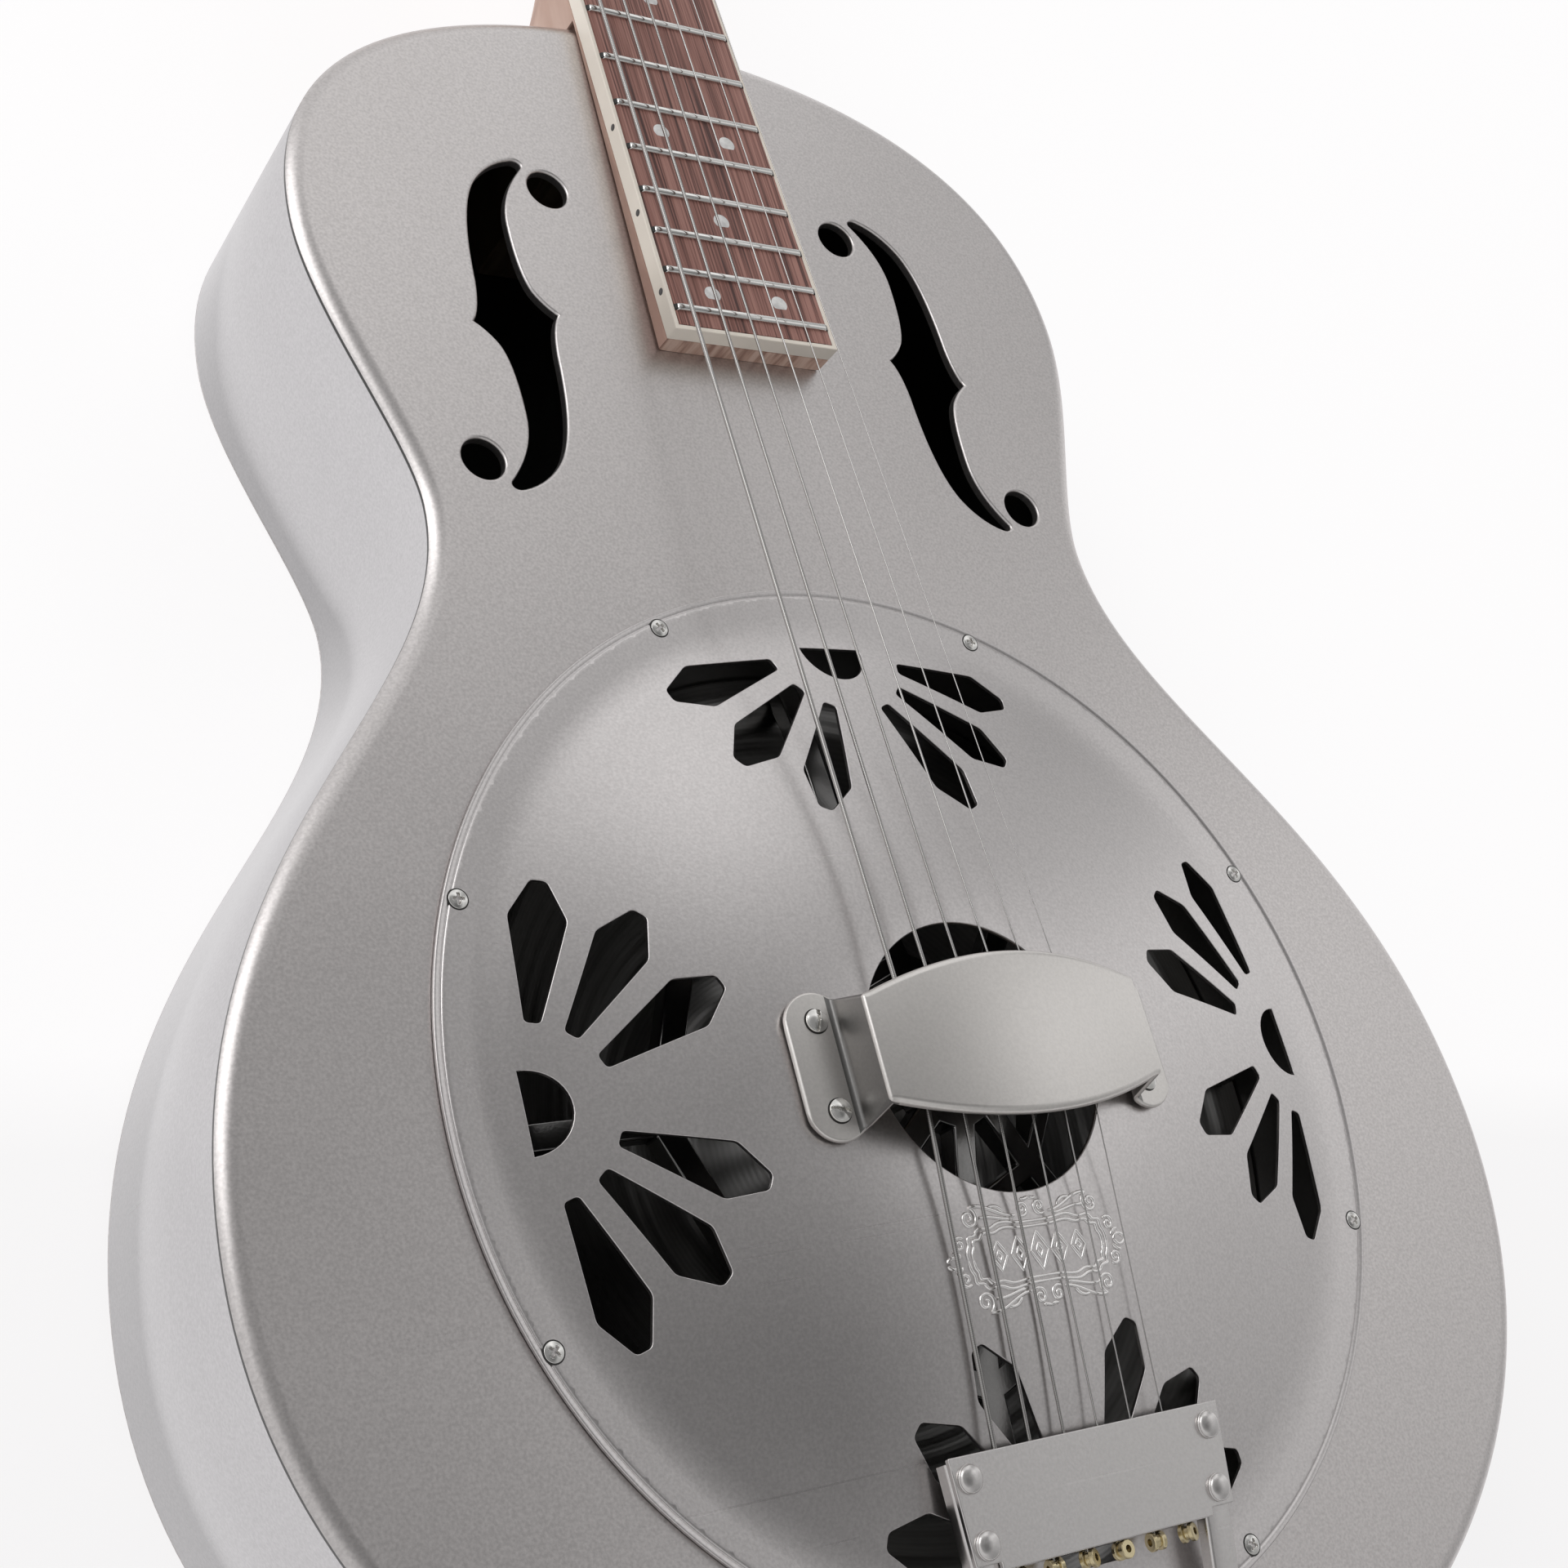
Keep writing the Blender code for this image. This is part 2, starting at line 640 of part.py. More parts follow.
def build_rivets():
    names = ("bass_front", "bass_rear", "treble_front", "treble_rear")
    for name, (x, y) in zip(names, rivet_places()):
        seat = tail_height(y) + GAP + 0.2
        profile = [(1.2, seat - 4.2), (1.2, seat), (2.6, seat), (2.6, seat + 0.6), (2.1, seat + 1.4),
                   (0.9, seat + 1.9)]
        make_object("tailpiece_rivet_" + name, *turned(profile, 10, (x, y)), "polished")


def build_strap_button():
    profile = [(3.0, 0.4), (3.0, 2.1), (6.0, 2.1), (6.6, 3.4), (4.2, 5.0), (3.6, 9.0), (6.6, 12.5),
               (6.9, 14.4), (5.2, 16.0)]
    make_object("strap_button", *placed(turned(profile, 16), button_frame()), "polished")


# ---------------------------------------------------------------- neck

def board_top(y):
    """Height of the fingerboard's playing face along the neck."""
    slope = (BOARD_END_TOP - BOARD_PLANE_AT_SADDLE) / BOARD_END_Y
    return BOARD_PLANE_AT_SADDLE + slope * y


def board_half_width(y):
    slope = (BOARD_WIDTH_JOINT - BOARD_WIDTH_NUT) / (TOP_Y - NUT_Y)
    return (BOARD_WIDTH_NUT + slope * (y - NUT_Y)) / 2.0


def fret_y(number):
    return SCALE * 2.0 ** (-number / 12.0) + COMPENSATION


def string_height(y):
    """Height of the strings' middle line between nut and saddle."""
    nut = board_top(NUT_Y) + STRING_OVER_NUT
    return SADDLE_Z + (nut - SADDLE_Z) * y / NUT_Y


def neck_section(y, top, depth, square):
    """A section across the neck: flat above and round below; a small square gives a boxy one."""
    ring = []
    half = board_half_width(y)
    for i in range(11):
        angle = math.pi * i / 10.0
        cosine = math.cos(angle)
        x = half * math.copysign(abs(cosine) ** square, cosine)
        ring.append((x, y, top - depth * math.sin(angle) ** square if 0 < i < 10 else top))
    return ring


def build_neck():
    """The wedge under the board's end, the heel and the shaft, as one carved piece."""
    face = BODY_DEPTH + GAP
    sections = [(BOARD_END_Y, None, 0.1), (TOP_Y + 0.25, None, 0.1), (TOP_Y + 0.45, 69.0, 0.45),
                (328.0, 62.0, 0.5), (336.0, 44.0, 0.6), (346.0, 28.0, 0.75), (362.0, 19.0, 0.85),
                (420.0, 17.5, 0.9), (540.0, 16.2, 0.9), (NUT_Y + NUT_LENGTH, 15.2, 0.9)]
    rings = []
    for y, depth, square in sections:
        top = board_top(y) - BOARD_THICKNESS - GAP
        rings.append(neck_section(y, top, top - face if depth is None else depth, square))
    roof = board_top(NUT_Y) - BOARD_THICKNESS
    rings[-1] = [(x, y - (roof - z) * math.tan(HEAD_ANGLE), z) for x, y, z in rings[-1]]
    make_object("neck", *loft(rings), "mahogany")


def build_fingerboard():
    """The board with its fret beads standing on the playing face."""
    inset = BINDING + GAP
    low = [(BOARD_END_Y + inset, -BOARD_THICKNESS), (NUT_Y, -BOARD_THICKNESS)]
    face = [(NUT_Y, 0.0)]
    for number in range(1, FRETS + 1):
        y = fret_y(number)
        face += [(y + 1.1, 0.0), (y + 0.6, FRET_HEIGHT), (y - 0.6, FRET_HEIGHT), (y - 1.1, 0.0)]
    face.append((BOARD_END_Y + inset, 0.0))
    rings = []
    for side in (-1.0, 1.0):
        rings.append([(side * (board_half_width(y) - inset), y, board_top(y) + h) for y, h in low + face])
    make_object("fingerboard", *loft(rings), "rosewood")


def build_binding():
    outer = [(board_half_width(y), y) for y in (NUT_Y, BOARD_END_Y)]
    inner = [(board_half_width(y) - BINDING, y) for y in (BOARD_END_Y + BINDING, NUT_Y)]
    outline = outer + [(-x, y) for x, y in reversed(outer)] + [(-x, y) for x, y in reversed(inner)] + inner
    rings = [[(x, y, board_top(y) - depth) for x, y in outline] for depth in (BOARD_THICKNESS, 0.0)]
    make_object("fingerboard_binding", *loft(rings), "cream")


def build_nut():
    low = board_top(NUT_Y) - BOARD_THICKNESS
    high = board_top(NUT_Y) + STRING_OVER_NUT - STRING_RADII[0] - GAP
    near = NUT_Y + GAP
    far = NUT_Y + NUT_LENGTH
    section = [(near, low), (far, low), (far, high - 1.4), (far - 1.2, high - 0.5), (near + 1.8, high),
               (near, high)]
    half = BOARD_WIDTH_NUT / 2.0
    make_object("nut", *loft([[(x, y, z) for y, z in section] for x in (-half, half)]), "bone")


def head_frame():
    """Headstock frame: X across, Y towards the tip, Z out of the front face."""
    start = Vector((0.0, NUT_Y + NUT_LENGTH + 1.5, board_top(NUT_Y) - 1.6))
    return Matrix.Translation(start) @ Matrix.Rotation(-HEAD_ANGLE, 4, "X")


def post_places():
    """Bass side from the nut outwards, then treble side from the tip back to the nut."""
    bass = [(-across, along) for across, along in zip(POST_ACROSS, POST_ALONG)]
    return bass + [(-x, y) for x, y in reversed(bass)]


def headstock_outline():
    half = [(21.5, 0.0), (22.5, 8.0), (28.0, 17.0), (32.0, 28.0), (33.5, 70.0), (36.0, 128.0), (37.5, 152.0)]
    half += bezier((37.5, 158.0), (24.0, 160.0), (14.0, 166.0), (9.0, HEAD_LENGTH), 4)
    return half + [(-x, y) for x, y in reversed(half)]


def build_headstock():
    verts, faces = placed(prism(headstock_outline(), -HEAD_THICKNESS, 0.0), head_frame())
    head = make_object("headstock", verts, faces, "mahogany")
    holes = [turned([(POST_R + 0.45, -HEAD_THICKNESS - 3.0), (POST_R + 0.45, 3.0)], 16, place)
             for place in post_places()]
    cut(head, placed(merge(holes), head_frame()), "post_holes")
    outline = [(-6.0, 4.0), (6.0, 4.0), (9.0, 12.0), (5.0, 34.0), (0.0, 42.0), (-5.0, 34.0), (-9.0, 12.0)]
    plate = prism(outline, GAP, 1.8)
    make_object("truss_rod_cover", *placed(plate, head_frame()), "black")


# ---------------------------------------------------------------- tuning machines

def wave(phase):
    """A rounded tooth profile: +1 on the crest, -1 in the root, one tooth for each unit of phase."""
    return max(-1.0, min(1.0, 1.35 * math.cos(2.0 * math.pi * phase)))


def tooth_radius(pitch_radius, phase):
    level = wave(phase)
    return pitch_radius + (TOOTH_OUT if level > 0.0 else TOOTH_IN) * level - 0.14


def gear_shape(place, side):
    """The gear with its post, about the post's own axis, in the headstock's frame."""
    steps = 4 * GEAR_TEETH
    lean = math.atan(WORM_PITCH / (2.0 * math.pi * WORM_R)) * side
    rings = []
    for share in (-0.5, 0.5):
        z = GEAR_W + share * GEAR_HEIGHT
        slide = share * GEAR_HEIGHT * math.tan(lean) / GEAR_R
        ring = []
        for i in range(steps):
            angle = 2.0 * math.pi * i / steps
            radius = tooth_radius(GEAR_R, GEAR_TEETH * angle / (2.0 * math.pi) + 0.5)
            turn = angle + slide + math.pi / 2.0
            ring.append((place[0] + radius * math.cos(turn), place[1] + radius * math.sin(turn), z))
        rings.append(ring)
    return loft(rings)


def worm_shape(place, side):
    """A threaded shaft across the headstock, with its button outside, in the headstock's frame."""
    count = 10
    rows = 13
    length = 3.0 * WORM_PITCH
    rings = []
    y = place[1] + GEAR_R + WORM_R
    for row in range(rows):
        x = -length / 2.0 + length * row / (rows - 1)
        ring = []
        for i in range(count):
            angle = 2.0 * math.pi * i / count
            radius = SHAFT_R
            if 0 < row < rows - 1:
                radius = tooth_radius(WORM_R, x / WORM_PITCH + side * angle / (2.0 * math.pi))
            ring.append((place[0] + x, y - radius * math.cos(angle), GEAR_W + radius * math.sin(angle)))
        rings.append(ring)
    reach = side * 44.0 - place[0]
    outer = [(reach - side * 1.0, SHAFT_R, 1.0), (reach, 3.0, 1.0), (reach + side * 3.0, 6.0, 0.6),
             (reach + side * 7.0, 8.2, 0.45), (reach + side * 13.0, 8.4, 0.42),
             (reach + side * 16.0, 6.0, 0.45)]
    inner = [(-side * (length / 2.0 + 3.2), SHAFT_R, 1.0)]
    sections = []
    for x, radius, flat in inner if side > 0 else reversed(outer):
        sections.append(shaft_ring(place[0] + x, y, radius, flat, count))
    sections += rings
    for x, radius, flat in outer if side > 0 else inner:
        sections.append(shaft_ring(place[0] + x, y, radius, flat, count))
    return loft(sections)


def shaft_ring(x, y, radius, flat, count):
    return [(x, y - radius * math.cos(2.0 * math.pi * i / count),
             GEAR_W + radius * flat * math.sin(2.0 * math.pi * i / count)) for i in range(count)]


def build_machines():
    frame = head_frame()
    for number, place in enumerate(post_places()):
        label = 6 - number
        side = -1.0 if place[0] < 0.0 else 1.0
        x, y = place
        post = [(POST_R, GEAR_W - GEAR_HEIGHT / 2.0 - 0.6), (POST_R, 4.0), (2.2, 6.0), (2.2, 8.6), (2.9, 9.6),
                (2.9, 10.4)]
        origin = frame @ Vector((x, y, GEAR_W))
        verts, faces = placed(turned(post, 12, place), frame)
        item = make_object("post_%d" % label, verts, faces, "polished", origin)
        combine(item, placed(gear_shape(place, side), frame), "gear_%d" % label, "UNION")
        origin = frame @ Vector((x, y + GEAR_R + WORM_R, GEAR_W))
        verts, faces = placed(worm_shape(place, side), frame)
        make_object("worm_%d" % label, verts, faces, "polished", origin)
    build_machine_plate("machine_plate_bass", -1.0)
    build_machine_plate("machine_plate_treble", 1.0)


def build_machine_plate(name, side):
    """A strip under three gears, with a bent ear at each end of every worm."""
    frame = head_frame()
    high = -HEAD_THICKNESS - GAP
    low = high - 1.2
    xs = sorted((side * 14.0, side * 31.0))
    strip = make_object(name, *placed(block((xs[0], 24.0, low), (xs[1], 126.0, high)), frame), "polished")
    ears = []
    holes = []
    for x, y in post_places():
        if x * side < 0.0:
            continue
        centre = y + GEAR_R + WORM_R
        for offset in (-4.7, 4.7):
            near = x + offset - 0.6
            ears.append(block((near, centre - 2.6, GEAR_W - 2.6), (near + 1.2, centre + 2.6, low + 0.6)))
        holes.append(turned([(POST_R + 0.45, low - 2.0), (POST_R + 0.45, high + 2.0)], 8, (x, y)))
        along = Matrix.Translation((x, centre, GEAR_W)) @ Matrix.Rotation(math.pi / 2.0, 4, "Y")
        holes.append(placed(turned([(SHAFT_R + 0.4, -7.0), (SHAFT_R + 0.4, 7.0)], 8), along))
    combine(strip, placed(merge(ears), frame), name + "_ears", "UNION")
    cut(strip, placed(merge(holes), frame), name + "_holes")


# ---------------------------------------------------------------- strings

def tube(points, radii, count=6):
    """A round bar along points; each ring stands square to the Y direction of the run."""
    rings = []
    for (x, y, z), radius in zip(points, radii):
        rings.append([(x + radius * math.cos(2.0 * math.pi * i / count), y,
                       z + radius * math.sin(2.0 * math.pi * i / count)) for i in range(count)])
    return loft(rings)


def build_strings():
    """Each string runs from its ball end, over saddle and nut, to the side of its post."""
    ball_y = TAIL_LIP_Y - 2.1
    tail_slope = (SADDLE_Z - (TAIL_FRONT_Z - 2.6)) / -TAIL_FRONT_Y
    for number, place in enumerate(post_places()):
        radius = STRING_RADII[number]
        ends = (string_x(number, SADDLE_SPREAD), string_x(number, NUT_SPREAD))
        side = -1.0 if place[0] < 0.0 else 1.0
        touch = head_frame() @ Vector((place[0] - side * (2.2 + radius + GAP), place[1], 7.2))
        points = []
        for y in (ball_y - 2.0, ball_y - 1.4, ball_y + 0.6, ball_y + 1.2):
            points.append((ends[0], y, SADDLE_Z + tail_slope * y))
        points.append((ends[0], 0.0, SADDLE_Z))
        points.append((ends[1], NUT_Y + 2.4, string_height(NUT_Y + 2.4)))
        points.append(tuple(touch))
        radii = [1.4, 2.1, 2.1, radius, radius, radius, radius]
        make_object("string_%d" % (6 - number), *tube(points, radii), "string_steel")


def main():
    clear_scene()
    build_body()
    build_sound_well()
    build_cone()
    build_spider()
    build_saddle()
    build_coverplate()
    build_cover_screws()
    build_palm_rest()
    build_cross_plate()
    build_tail_frame()
    build_rivets()
    build_strap_button()
    build_neck()
    build_fingerboard()
    build_binding()
    build_nut()
    build_headstock()
    build_machines()
    build_strings()


main()
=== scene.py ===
"""Looks of the metal-bodied resonator guitar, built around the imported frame.

Shapes are written in millimetres, in the frame's own axes: +X is the treble side, +Y runs up the neck
and +Z comes out of the top. Each mesh is scaled to metres as it is made.
"""
import math
from math import cos, pi, sin

import bmesh
import bpy
import numpy as np
from mathutils import Matrix, Vector
from mathutils.geometry import delaunay_2d_cdt


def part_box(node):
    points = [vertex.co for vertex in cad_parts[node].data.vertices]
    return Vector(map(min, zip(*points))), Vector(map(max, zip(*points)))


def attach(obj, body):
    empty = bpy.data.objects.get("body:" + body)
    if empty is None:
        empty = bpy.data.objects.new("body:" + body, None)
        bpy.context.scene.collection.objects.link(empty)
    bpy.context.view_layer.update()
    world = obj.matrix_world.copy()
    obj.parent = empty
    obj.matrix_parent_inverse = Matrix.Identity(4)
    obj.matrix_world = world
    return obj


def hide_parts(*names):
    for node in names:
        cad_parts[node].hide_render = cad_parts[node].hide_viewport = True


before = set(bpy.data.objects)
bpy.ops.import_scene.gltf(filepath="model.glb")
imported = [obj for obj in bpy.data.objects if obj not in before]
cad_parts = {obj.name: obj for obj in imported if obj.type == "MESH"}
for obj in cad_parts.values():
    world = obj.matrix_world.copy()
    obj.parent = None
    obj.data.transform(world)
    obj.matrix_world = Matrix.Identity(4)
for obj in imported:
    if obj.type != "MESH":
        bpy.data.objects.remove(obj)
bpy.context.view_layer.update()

MM = 0.001
ROOT = "guitar"


def span(node):
    """A CAD node's lowest and highest corner in millimetres."""
    low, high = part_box(node)
    return Vector(low) / MM, Vector(high) / MM


SHEET = 1.2

# Sizes read from the frame
TOP_LOW, TOP_HIGH = span("body_top")
COVER_LOW, COVER_HIGH = span("coverplate")
BODY_DEPTH = TOP_HIGH.z
TOP_Y = TOP_HIGH.y
TAIL_Y = TOP_LOW.y
COVER_R = COVER_HIGH.x
COVER_RIM_TOP = COVER_LOW.z + SHEET
DOME_HEIGHT = COVER_HIGH.z - COVER_RIM_TOP

# Rolled edge of the top and back: its depth, the angle it turns through and the seam under it, where a black band
# is a painted shadow
EDGE_DEPTH = 2.2
EDGE_TURN = math.radians(47.0)
SEAM = 0.9

# Body outline and openings, as in the CAD
UPPER_BOUT = (125.0, 235.0)
WAIST = (105.5, 154.0)
LOWER_BOUT = (TOP_HIGH.x, -24.5)
CONE_OPENING_R = 121.5
F_HOLE_CENTRE = (67.9, 212.0)
F_EYE_OFFSET = (19.5, 44.5)
F_EYE_R = 5.9
DOME_R = 121.0
DOME_POWER = 1.6
HOLE_R = 33.5
FAN_R = 116.1
PETAL_ANGLES = (-74.0, -49.6, -25.0, 25.0, 49.6, 74.0)
COVER_SCREW_CIRCLE = 130.6

# Camera
CAMERA_PLACE = Vector((-344.5, -117.4, 486.7))
CAMERA_AIM = Vector((0.5744, 0.3512, -0.7394))
CAMERA_UP = Vector((-0.0002, 0.9033, 0.4289))
CAMERA_LENS = 51.55


# ---------------------------------------------------------------- materials

# Detail per metre in the plated metal
GRAIN_SCALE = 1300.0
SCRATCH_SCALE = 700.0
CLOUD_SCALE = 9.0


def node(tree, kind, inputs=None, **settings):
    """A shader node whose inputs are values or the sockets that feed them."""
    item = tree.nodes.new("ShaderNode" + kind)
    for key, value in settings.items():
        setattr(item, key, value)
    for key, value in (inputs or {}).items():
        socket = item.inputs[key]
        if isinstance(value, bpy.types.NodeSocket):
            tree.links.new(value, socket)
        else:
            socket.default_value = value
    return item


def ramp(tree, factor, stops):
    """A colour ramp over (position, colour) stops; a number stands for a grey."""
    item = node(tree, "ValToRGB", {"Fac": factor})
    elements = item.color_ramp.elements
    while len(elements) < len(stops):
        elements.new(0.5)
    for element, (place, colour) in zip(elements, stops):
        element.position = place
        element.color = (*colour, 1.0) if isinstance(colour, tuple) else (colour, colour, colour, 1.0)
    return item.outputs["Color"]


def noise(tree, place, scale, detail=2.0, stretch=(1.0, 1.0, 1.0), turn=0.0):
    """Noise at a scale per metre, stretched along axes that are first turned about Z."""
    spot = node(tree, "Mapping", {"Vector": place, "Rotation": (0.0, 0.0, turn), "Scale": stretch})
    item = node(tree, "TexNoise", {"Vector": spot.outputs["Vector"], "Scale": scale, "Detail": detail})
    return item.outputs["Fac"]


def blend(tree, kind, a, b):
    """A maths node's result over two values or sockets."""
    return node(tree, "Math", {0: a, 1: b}, operation=kind).outputs[0]


def add_bump(tree, shader, height, strength, distance=0.0001):
    bump = node(tree, "Bump", {"Height": height, "Strength": strength, "Distance": distance})
    tree.links.new(bump.outputs["Normal"], shader.inputs["Normal"])


def start_material(name, roughness, metallic):
    """A new material with its node tree, shader and object coordinates."""
    material = bpy.data.materials.new(name)
    material.use_nodes = True
    tree = material.node_tree
    shader = tree.nodes["Principled BSDF"]
    shader.inputs["Roughness"].default_value = roughness
    shader.inputs["Metallic"].default_value = metallic
    place = node(tree, "TexCoord").outputs["Object"]
    return material, tree, shader, place


def shades(colour, low, high):
    """Two tints of a colour."""
    return tuple(c * low for c in colour), tuple(min(c * high, 1.0) for c in colour)


def scratch_marks(tree, place):
    """Sparse hair lines at three angles, gathered in patches."""
    marks = None
    for turn, length in ((0.5, 4.0), (2.1, 6.0), (1.3, 3.0)):
        line = noise(tree, place, SCRATCH_SCALE, 0.0, (length / SCRATCH_SCALE, 1.0, 0.02), turn)
        line = ramp(tree, line, [(0.79, 0.0), (0.83, 1.0)])
        marks = line if marks is None else blend(tree, "ADD", marks, line)
    patch = ramp(tree, noise(tree, place, 21.0, 1.0), [(0.50, 0.0), (0.60, 1.0)])
    return blend(tree, "MULTIPLY", marks, patch)


def metal(name, colour, roughness, grain=1.0, scratches=1.0, spread=0.05):
    """Plated sheet: fine grain, cloudy roughness and sparse hair scratches."""
    material, tree, shader, place = start_material(name, roughness, 1.0)
    fine = noise(tree, place, GRAIN_SCALE)
    cloud = noise(tree, place, CLOUD_SCALE, 3.0)
    low, high = shades(colour, 1.0 - spread * grain, 1.0 + spread * grain)
    mixed = blend(tree, "ADD", blend(tree, "MULTIPLY", fine, 0.75), blend(tree, "MULTIPLY", cloud, 0.25))
    tree.links.new(ramp(tree, mixed, [(0.36, low), (0.64, high)]), shader.inputs["Base Color"])
    marks = scratch_marks(tree, place)
    rough = node(tree, "MapRange", {"Value": cloud, "From Min": 0.3, "From Max": 0.7,
                                    "To Min": roughness - 0.035, "To Max": roughness + 0.035})
    rough = blend(tree, "SUBTRACT", rough.outputs["Result"], blend(tree, "MULTIPLY", marks, 0.05 * scratches))
    tree.links.new(rough, shader.inputs["Roughness"])
    relief = blend(tree, "SUBTRACT", blend(tree, "MULTIPLY", fine, grain),
                   blend(tree, "MULTIPLY", marks, 0.35 * scratches))
    add_bump(tree, shader, relief, 0.14)
    return material


def lined_metal(name, colour, roughness, scale, distortion, tints, stops, relief, **pattern):
    """Metal under fine even lines: the rings of spinning, or the turns of a winding."""
    material, tree, shader, place = start_material(name, roughness, 1.0)
    lines = node(tree, "TexWave", {"Vector": place, "Scale": scale, "Distortion": distortion, "Detail": 2.0},
                 **pattern).outputs["Fac"]
    colours = zip(stops, shades(colour, *tints))
    tree.links.new(ramp(tree, lines, list(colours)), shader.inputs["Base Color"])
    add_bump(tree, shader, lines, relief)
    return material


def wood(name, dark, middle, light, roughness, across, along):
    """Wood grained along Y: dark pores and streaks over slow bands."""
    material, tree, shader, place = start_material(name, roughness, 0.0)
    streaks = noise(tree, place, across, 4.0, (1.0, along / across, 0.1))
    bands = noise(tree, place, across / 5.0, 2.0, (1.0, along / across, 0.1))
    tone = blend(tree, "ADD", blend(tree, "MULTIPLY", streaks, 0.78), blend(tree, "MULTIPLY", bands, 0.22))
    colour = ramp(tree, tone, [(0.37, dark), (0.47, middle), (0.60, light)])
    tree.links.new(colour, shader.inputs["Base Color"])
    pores = ramp(tree, noise(tree, place, 2600.0, 1.0, (1.0, 0.03, 0.1)), [(0.36, 0.0), (0.50, 1.0)])
    add_bump(tree, shader, pores, 0.35, 0.00008)
    rough = node(tree, "MapRange", {"Value": streaks, "To Min": roughness + 0.08, "To Max": roughness - 0.08})
    tree.links.new(rough.outputs["Result"], shader.inputs["Roughness"])
    return material


def solid_colour(name, colour, roughness, scale, spread):
    """Plastic, bone or pearl: a slow mottle and a slight orange peel."""
    material, tree, shader, place = start_material(name, roughness, 0.0)
    cloud = noise(tree, place, scale, 3.0)
    low, high = shades(colour, 1.0 - spread, 1.0 + spread)
    tree.links.new(ramp(tree, cloud, [(0.35, low), (0.65, high)]), shader.inputs["Base Color"])
    add_bump(tree, shader, noise(tree, place, 700.0), 0.05)
    return material


# Each look: its material and the part's slot that it stands for
LOOKS = {
    "body_nickel": (metal("satin_body_nickel", (0.575, 0.547, 0.540), 0.34, spread=0.10), "body_nickel"),
    "side_nickel": (metal("satin_side_nickel", (0.585, 0.573, 0.582), 0.30, 0.8, 0.25, 0.08), "body_nickel"),
    "cover_nickel": (metal("satin_cover_nickel", (0.575, 0.550, 0.545), 0.30, spread=0.08), "cover_nickel"),
    "fitting_nickel": (metal("brushed_fitting_nickel", (0.62, 0.60, 0.59), 0.27, 0.8), "cover_nickel"),
    # Darker copy of the palm rest's nickel for the risers' outer faces: painted shade
    "painted_shade_riser": (metal("shaded_riser_nickel", (0.21, 0.205, 0.20), 0.33, 0.8), "cover_nickel"),
    # Lighter nickel on the ornament's ridges: painted highlight
    "ridge_nickel": (metal("bright_ridge_highlight_nickel", (0.82, 0.80, 0.79), 0.22, 0.4, 0.0), "cover_nickel"),
    "palm_nickel": (metal("satin_palm_nickel", (0.665, 0.64, 0.617), 0.34, 0.8), "cover_nickel"),
    "polished": (metal("polished_nickel_plate", (0.70, 0.69, 0.67), 0.16, 0.4, 0.6), "polished_nickel"),
    # Near-black copy of the plate for the insides of the body's sheets: painted shade
    "inner_plate": (metal("painted_shade_inner_plate", (0.07, 0.068, 0.065), 0.5), "body_nickel"),
    "dark_nickel": (metal("dull_inner_plate", (0.16, 0.155, 0.15), 0.42), "dark_nickel"),
    # Cone and spider get a dark base, far below bare aluminium: painted shade inside the body
    "cast": (metal("cast_spider", (0.25, 0.245, 0.24), 0.18), "cast_aluminium"),
    "spun": (lined_metal("spun_cone", (0.25, 0.245, 0.24), 0.28, 260.0, 1.5, (0.95, 1.04), (0.2, 0.8), 0.10,
                         wave_type="RINGS", rings_direction="Z"), "spun_aluminium"),
    "steel": (metal("plain_string_steel", (0.44, 0.43, 0.42), 0.18, 0.3, 0.0), "string_steel"),
    "wound": (lined_metal("wound_string_steel", (0.36, 0.35, 0.34), 0.24, 700.0, 0.0, (0.85, 1.05), (0.15, 0.7),
                          0.15, wave_type="BANDS", bands_direction="Y"), "string_steel"),
    "brass": (metal("ball_end_brass", (0.68, 0.585, 0.37), 0.26, 0.5, 0.0), "string_steel"),
    "rosewood": (wood("fingerboard_rosewood", (0.072, 0.026, 0.021), (0.230, 0.094, 0.073),
                      (0.390, 0.190, 0.153), 0.50, 1500.0, 16.0), "rosewood"),
    "mahogany": (wood("neck_mahogany", (0.330, 0.190, 0.145), (0.500, 0.320, 0.250),
                      (0.620, 0.440, 0.360), 0.42, 600.0, 12.0), "mahogany"),
    "maple": (wood("inner_maple", (0.070, 0.045, 0.026), (0.110, 0.075, 0.045),
                   (0.150, 0.105, 0.065), 0.6, 300.0, 10.0), "maple"),
    "cream": (solid_colour("cream_plastic", (0.86, 0.785, 0.69), 0.30, 60.0, 0.03), "cream_binding"),
    "bone": (solid_colour("nut_bone", (0.82, 0.78, 0.68), 0.38, 140.0, 0.05), "bone"),
    "pearl": (solid_colour("pearl_inlay", (0.74, 0.73, 0.72), 0.25, 420.0, 0.14), "bone"),
    # Black plastic, also used for the black bands and rings that stand for shadows in the seam, screw gaps and fret
    # slots: painted shadow
    "black": (solid_colour("black_plastic_and_painted_shadow", (0.018, 0.017, 0.016), 0.30, 200.0, 0.15), "black_plastic"),
}


# ---------------------------------------------------------------- mesh tools

